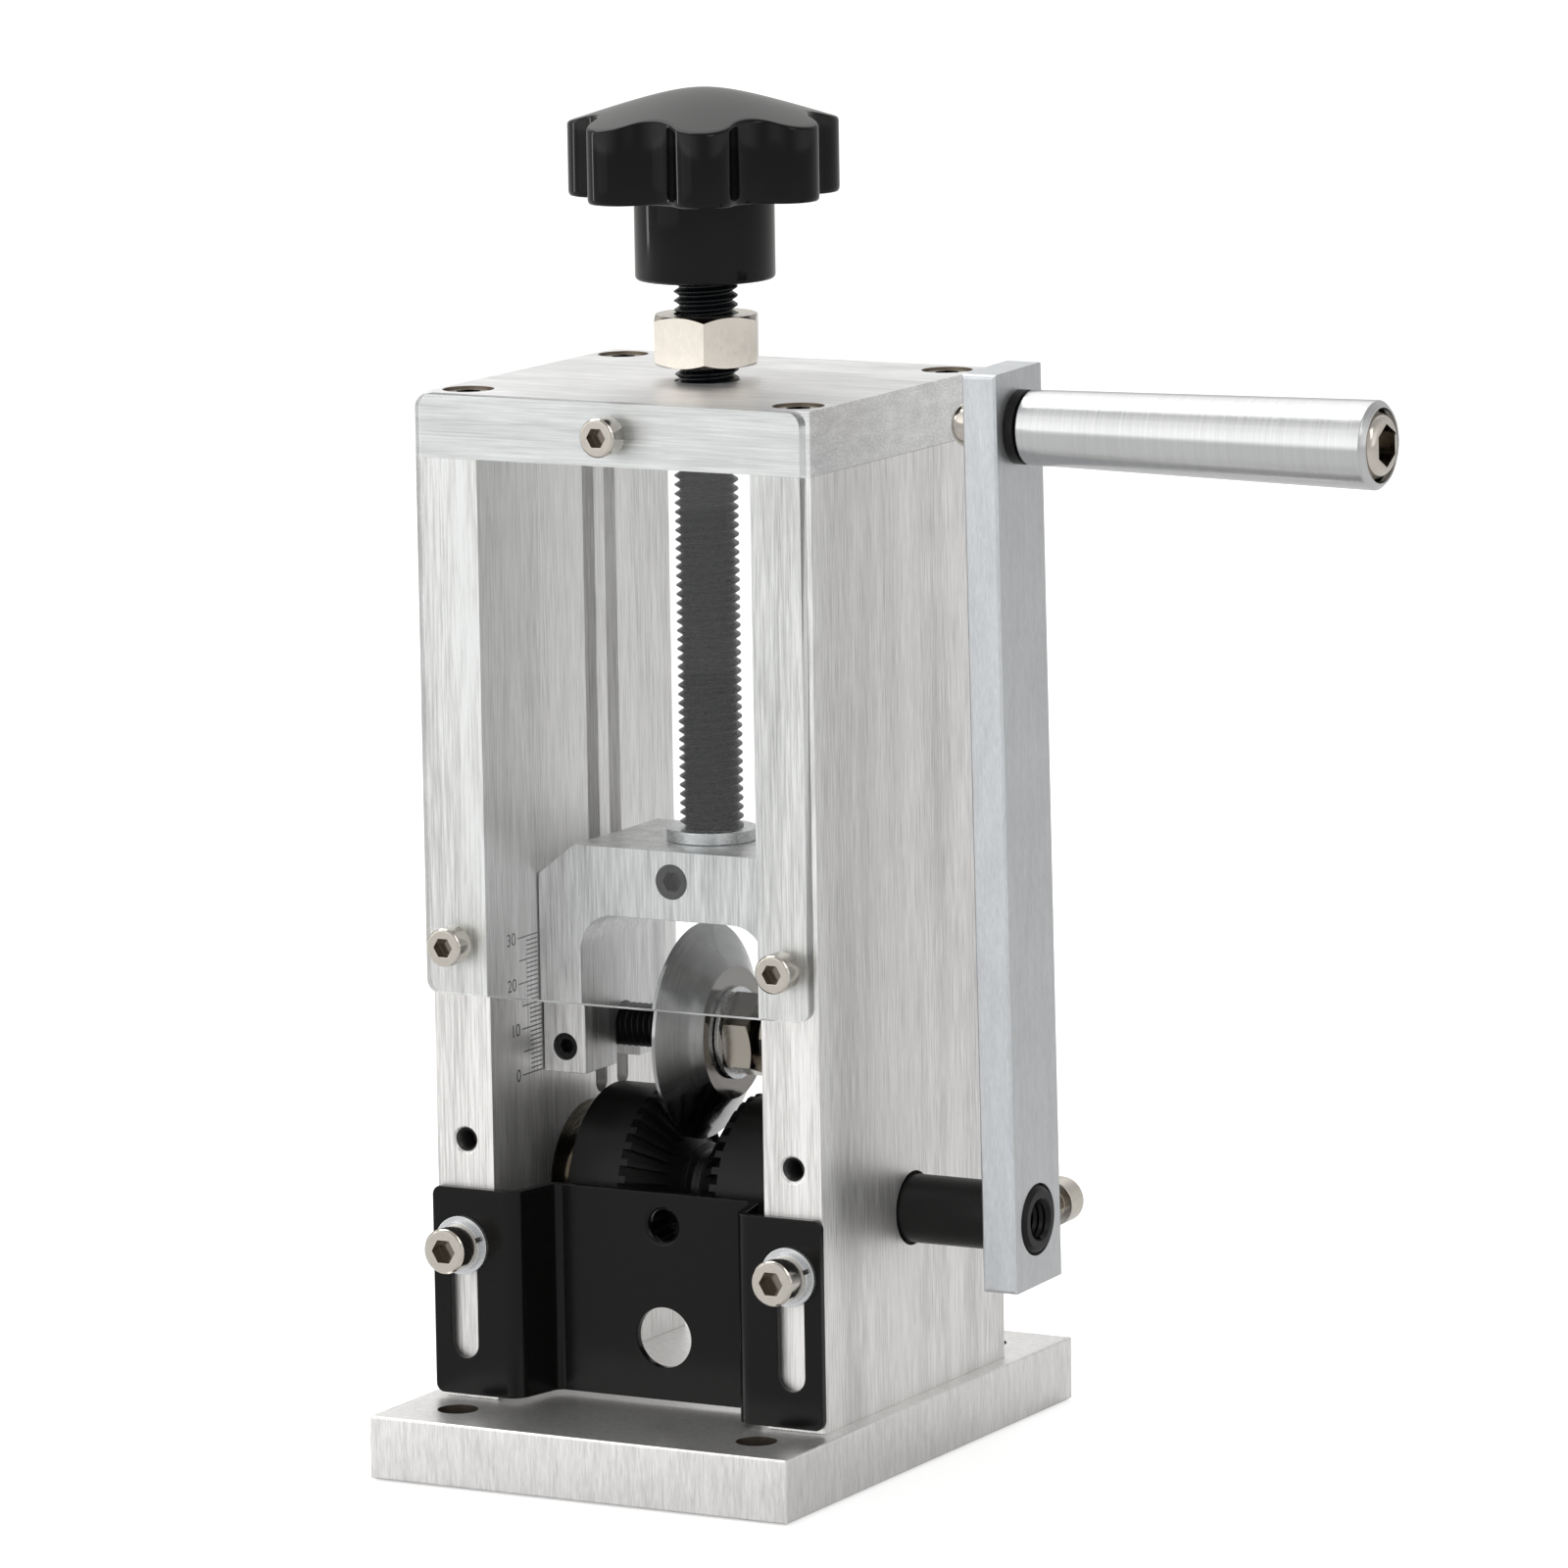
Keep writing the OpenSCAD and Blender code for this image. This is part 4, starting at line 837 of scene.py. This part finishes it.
def inner_thread(name, bore, pitch, depth, length, steps):
    """A ridge that stands in from a bore's wall; it starts at zero and runs down Z."""
    piece = draw_line(name, [(bore + RIDGE_LAP, 0), (bore - depth, pitch / 2),
                             (bore + RIDGE_LAP, pitch)])
    into_mesh(piece, "DESELECT")
    out_of_mesh()
    for end in (0, 2):
        piece.data.vertices[end].select = True
    bpy.ops.object.mode_set(mode="EDIT")
    bpy.ops.mesh.edge_face_add()
    out_of_mesh()
    screw = piece.modifiers.new("sweep", "SCREW")
    screw.screw_offset = -pitch * mm
    screw.iterations = int(length / pitch)
    screw.steps = screw.render_steps = steps
    apply_modifiers(piece)
    into_mesh(piece, "DESELECT")
    bpy.ops.mesh.select_non_manifold()
    bpy.ops.mesh.fill_holes(sides=3)
    out_of_mesh()
    clean(piece)
    smooth(piece, 25)
    return piece


shaft_mid = middle_of("shaft")
ridge = inner_thread("shaft_end_thread", bore=4.25, pitch=1.5, depth=0.45, length=15, steps=28)
ridge.rotation_euler = (0, math.pi / 2, 0)
ridge.location = (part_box("shaft")[1].x - SHAFT_MOUTH * mm, shaft_mid.y, shaft_mid.z)
ridge["finish"] = "black_oxide_steel"
seat(ridge, black_oxide, body="drive")

# The spare holes' ridges are aluminium, and take the dark plug steel as painted shade
for side, spot in SPARE_HOLES.items():
    ridge = inner_thread(f"spare_hole_thread_{side}", bore=2.5, pitch=1.0, depth=0.35,
                         length=10, steps=20)
    ridge.rotation_euler = (math.pi / 2, 0, 0)
    ridge.location = [c * mm for c in spot]
    ridge["finish"] = "wall_aluminium"
    seat(ridge, plug_steel_and_hole_shade, body="frame")

# %% [markdown]
# The star knob
#
# The knob is moulded in one piece, with seven lobes under a low dome. A ring of vertices is
# first pushed into the lobed outline. It is then extruded ring by ring: up the side, round
# the edge and over the dome. The dome's height depends only on the distance from the axis,
# so its edge rises in each valley and falls at each lobe, as a turned mould makes it.

# %% The lobed outline
KNOB_TURN = -61.3  # degrees from the X axis to a lobe
LOBES, KNOB_R, VALLEY_R, LOBE_R = 7, 30.0, 23.5, 6.8
lobe_c = KNOB_R - LOBE_R
half_pitch = math.pi / LOBES
valley_k = VALLEY_R - LOBE_R
valley_c = (lobe_c ** 2 - valley_k ** 2) / (2 * (lobe_c * math.cos(half_pitch) - valley_k))
valley_arc = valley_c - VALLEY_R
lobe_at = Vector((lobe_c, 0))
valley_at = Vector((math.cos(half_pitch), math.sin(half_pitch))) * valley_c
touch = lobe_at.lerp(valley_at, LOBE_R / (LOBE_R + valley_arc))
touch_angle = math.atan2(touch.y, touch.x)


def outline(angle):
    """Radius of the lobed outline at an angle from the first lobe's middle, in mm."""
    off = abs((angle + half_pitch) % (2 * half_pitch) - half_pitch)
    if off < touch_angle:
        across = lobe_c * math.sin(off)
        return lobe_c * math.cos(off) + math.sqrt(LOBE_R ** 2 - across ** 2)
    across = valley_c * math.sin(half_pitch - off)
    return valley_c * math.cos(half_pitch - off) - math.sqrt(valley_arc ** 2 - across ** 2)


print("outline:", round(outline(0), 2), "mm at a lobe,", round(outline(half_pitch), 2),
      "mm in a valley")

# %% Extrude the rings of the knob
HUB_H, DOME_H, DOME_CORE, RIM_ROUND = 18.0, 7.4, 10.0, 0.7
STEPS = LOBES * 32
low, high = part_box("knob")
hub_z, dome_z = low.z / mm, high.z / mm
lobe_z = hub_z + HUB_H


def dome_drop(r):
    """How far the dome has fallen at radius r, in mm: round inside, a cone further out."""
    return DOME_H * (math.hypot(r, DOME_CORE) - DOME_CORE) / (
        math.hypot(KNOB_R, DOME_CORE) - DOME_CORE)


# Each ring: height over the lobes' foot, or None on the dome; inset; fall; share of the way in
rings = [(0.0, 0.9, 0, 0), (0.1, 0.4, 0, 0), (0.5, 0.1, 0, 0), (1.2, 0, 0, 0)]
for turn in (0, 22.5, 45, 67.5, 90):
    t = math.radians(turn)
    rings.append((None, RIM_ROUND * (1 - math.cos(t)), RIM_ROUND * (1 - math.sin(t)), 0))
rings += [(None, RIM_ROUND, 0, share) for share in (
    0.04, 0.09, 0.16, 0.24, 0.32, 0.4, 0.48, 0.56, 0.64, 0.71, 0.78, 0.84, 0.9, 0.94, 0.97, 0.99)]
pick_none()
bpy.ops.mesh.primitive_circle_add(vertices=STEPS, radius=KNOB_R * mm,
                                  location=(0, LIFT_Y * mm, 0))
head = bpy.context.object
head.name = "star_knob"


def shape_ring(mesh, first, ring):
    """Moves one ring of vertices into the lobed outline, at the ring's height."""
    up, inset, fall, share = ring
    for i in range(STEPS):
        vertex = mesh.vertices[first + i]
        angle = math.atan2(vertex.co.y, vertex.co.x)
        r = (outline(angle - math.radians(KNOB_TURN)) - inset) * (1 - share)
        z = dome_z - dome_drop(r) - fall if up is None else lobe_z + up
        vertex.co = (r * mm * math.cos(angle), r * mm * math.sin(angle), z * mm)


shape_ring(head.data, 0, rings[0])
for number, ring in enumerate(rings[1:], 1):
    into_mesh(head, "DESELECT")
    out_of_mesh()
    for vertex in head.data.vertices[(number - 1) * STEPS:]:
        vertex.select = True
    bpy.ops.object.mode_set(mode="EDIT")
    bpy.ops.mesh.select_mode(type="VERT")
    bpy.ops.mesh.extrude_edges_move(TRANSFORM_OT_translate={"value": (0, 0, mm)})
    out_of_mesh()
    shape_ring(head.data, number * STEPS, ring)
into_mesh(head, "DESELECT")
bpy.ops.mesh.select_non_manifold()
bpy.ops.mesh.fill_holes(sides=0)
out_of_mesh()
clean(head)
smooth(head, 50)

# %% The knob's hub
HUB_R, HUB_ROUND, HUB_LAP = 15.25, 0.9, 0.6
pick_none()
bpy.ops.mesh.primitive_cylinder_add(
    vertices=96, radius=HUB_R * mm, depth=(HUB_H + HUB_LAP) * mm,
    location=(0, LIFT_Y * mm, (hub_z + HUB_H / 2 + HUB_LAP / 2) * mm))
hub = bpy.context.object
bevel_ends(hub, lambda face: face.normal.z < -0.9, HUB_ROUND, 3)
smooth(hub, 40)
seat(join("star_knob", [head, hub]), black_phenolic, ["knob"])

# %% [markdown]
# The millimetre scale
#
# The scale is etched into the left wall's inner face and shows how far the blade is open.
# Every tenth mark and every fifth is longer. One mark is a thin bar, and each of the others
# is a copy of it, stretched to its length.

# %% Marks and numbers of the scale
WALL_X, SCALE_Z, MARKS_END_Y, MARK_PITCH = -33.5, 83.8, -20.0, 1.015
TENTH_L, FIFTH_L, MARK_L, MARK_W, PRINT_T = 8.5, 8.0, 4.9, 0.26, 0.04
NUMBER_H, NUMBERS_IN = 4.0, 9.3
scale_mark, tree, shader = new_material("scale_mark")
ink = add_node(tree, "TexNoise", {
    "Vector": object_place(tree), "Scale": 2500, "Detail": 3}).outputs["Fac"]
feed(tree, shader, {"Base Color": mix_colours(tree, ink, grey(0.02), grey(0.12)),
                    "Roughness": 0.6})
marks = []
for i in range(31):
    long = TENTH_L if i % 10 == 0 else FIFTH_L if i % 5 == 0 else MARK_L
    pick_none()
    bpy.ops.mesh.primitive_cube_add(size=mm, location=(
        WALL_X * mm, (MARKS_END_Y - long / 2) * mm, (SCALE_Z + i * MARK_PITCH) * mm))
    line = bpy.context.object
    line.scale = (PRINT_T, long, MARK_W)
    settle(line)
    marks.append(line)
for value in (0, 10, 20, 30):
    pick_none()
    bpy.ops.object.text_add(location=(0, 0, 0))
    number = bpy.context.object
    number.data.body = str(value)
    number.data.size = NUMBER_H * mm
    number.data.extrude = PRINT_T / 2 * mm
    number.data.align_x, number.data.align_y = "RIGHT", "CENTER"
    pick(number)
    bpy.ops.object.convert(target="MESH")
    number = bpy.context.object
    number.rotation_euler = (math.pi / 2, 0, math.pi / 2)
    number.location = (WALL_X * mm, (MARKS_END_Y - NUMBERS_IN) * mm,
                       (SCALE_Z + value * MARK_PITCH) * mm)
    settle(number)
    marks.append(number)
ruler = join("millimetre_scale", marks)
clean(ruler)
ruler["finish"] = "wall_aluminium"
seat(ruler, scale_mark, body="frame")

# %% [markdown]
# The studio
#
# The photograph is lit by large soft lamps against pure white. The floor and the world are
# white to the camera. What the metal reflects is another matter: the world also holds a
# soft gradient with a darker side, because metal in an even white room looks like chalk.

# %% Floor
FLOOR, FLOOR_WHITE = 0.74, 0.56  # its own grey, and the light that it adds
FLOOR_R, FLOOR_DROP = 14, 0.0004  # metres


def seen_directly(tree):
    """One for what the camera sees, also through the acrylic, and zero in reflections."""
    ray = add_node(tree, "LightPath").outputs
    return math_node(tree, "MAXIMUM", ray["Is Camera Ray"], ray["Is Transmission Ray"])


pick_none()
bpy.ops.mesh.primitive_circle_add(vertices=96, radius=FLOOR_R, fill_type="NGON",
                                  location=(0, 0, -FLOOR_DROP))
floor = bpy.context.object
floor.name = "floor"
floor_paint, tree, shader = new_material("floor_paint")
shade = add_node(tree, "TexNoise", {"Vector": object_place(tree), "Scale": 3}).outputs["Fac"]
feed(tree, shader, {
    "Base Color": mix_colours(tree, shade, grey(FLOOR), grey(FLOOR * 1.03)),
    "Roughness": 0.9, "Specular IOR Level": 0})
white = add_node(tree, "Emission", {"Strength": FLOOR_WHITE})
lit_floor = add_node(tree, "AddShader", {0: shader.outputs[0], 1: white.outputs[0]})
feed(tree, tree.nodes["Material Output"], {"Surface": mix_shaders(
    tree, seen_directly(tree), shader.outputs[0], lit_floor.outputs[0])})
floor.data.materials.append(floor_paint)

# %% World
ROOM = 0.45
# Each glow: azimuth, elevation, strength, sharpness
GLOWS = [(-35, 5, 1.1, 3), (-140, 48, 1.1, 8), (88, 0, 0.7, 5), (151, -9, 0.2, 4)]
world = bpy.data.worlds.new("studio")
bpy.context.scene.world = world
world.use_nodes = True
tree = world.node_tree
tree.nodes.clear()
way = add_node(tree, "TexCoord").outputs["Generated"]
gleam = ROOM
for azimuth, elevation, strength, sharpness in GLOWS:
    towards = add_node(tree, "VectorMath", {0: way, 1: direction(azimuth, elevation)},
                       operation="DOT_PRODUCT").outputs["Value"]
    lit = math_node(tree, "POWER", math_node(tree, "MAXIMUM", towards, 0), sharpness)
    gleam = math_node(tree, "ADD", math_node(tree, "MULTIPLY", lit, strength), gleam)
room = add_node(tree, "Background", {"Color": (1.0, 0.995, 0.985, 1), "Strength": gleam})
paper = add_node(tree, "Background", {"Color": (1, 1, 1, 1), "Strength": 1.0})
add_node(tree, "OutputWorld", {"Surface": mix_shaders(
    tree, seen_directly(tree), room.outputs[0], paper.outputs[0])})
print("world:", len(tree.nodes), "nodes")

# %% [markdown]
# The lamps
#
# The key stands behind on the left and above, and draws the light along the handle and over
# the knob's dome. The fill softens the right side. The card is a long low panel in front on
# the left: the upright front faces mirror it, more at the top than at the foot. The strip
# is narrow and tall, and draws the upright lines of light on the knob's lobes.

# %% Lamps
AIM = Vector((0, 0, 0.15))  # the machine's middle
# Each lamp: name, azimuth, elevation, distance, width and height, radiance; in metres
LAMPS = [("key", -95, 60, 1.5, (0.9, 0.9), 2.2), ("fill", 60, 40, 1.8, (0.6, 1.0), 1.4),
         ("card", -34, 1.4, 1.2, (0.9, 0.25), 0.28), ("strip", -78, 12, 1.3, (0.12, 0.9), 4.0)]


def soft_lamp(name, azimuth, elevation, distance, size, radiance):
    """A rectangular area lamp that looks at the machine's middle."""
    lamp = bpy.data.objects.new(name, bpy.data.lights.new(name, "AREA"))
    lamp.data.shape = "RECTANGLE"
    lamp.data.size, lamp.data.size_y = size
    lamp.data.energy = radiance * math.pi * size[0] * size[1]
    away = direction(azimuth, elevation)
    lamp.location = AIM + away * distance
    lamp.rotation_euler = away.to_track_quat("Z", "Y").to_euler()
    lamp.visible_camera = False
    bpy.context.scene.collection.objects.link(lamp)
    print(name, "lamp:", round(lamp.data.energy, 2), "W")


for lamp in LAMPS:
    soft_lamp(*lamp)
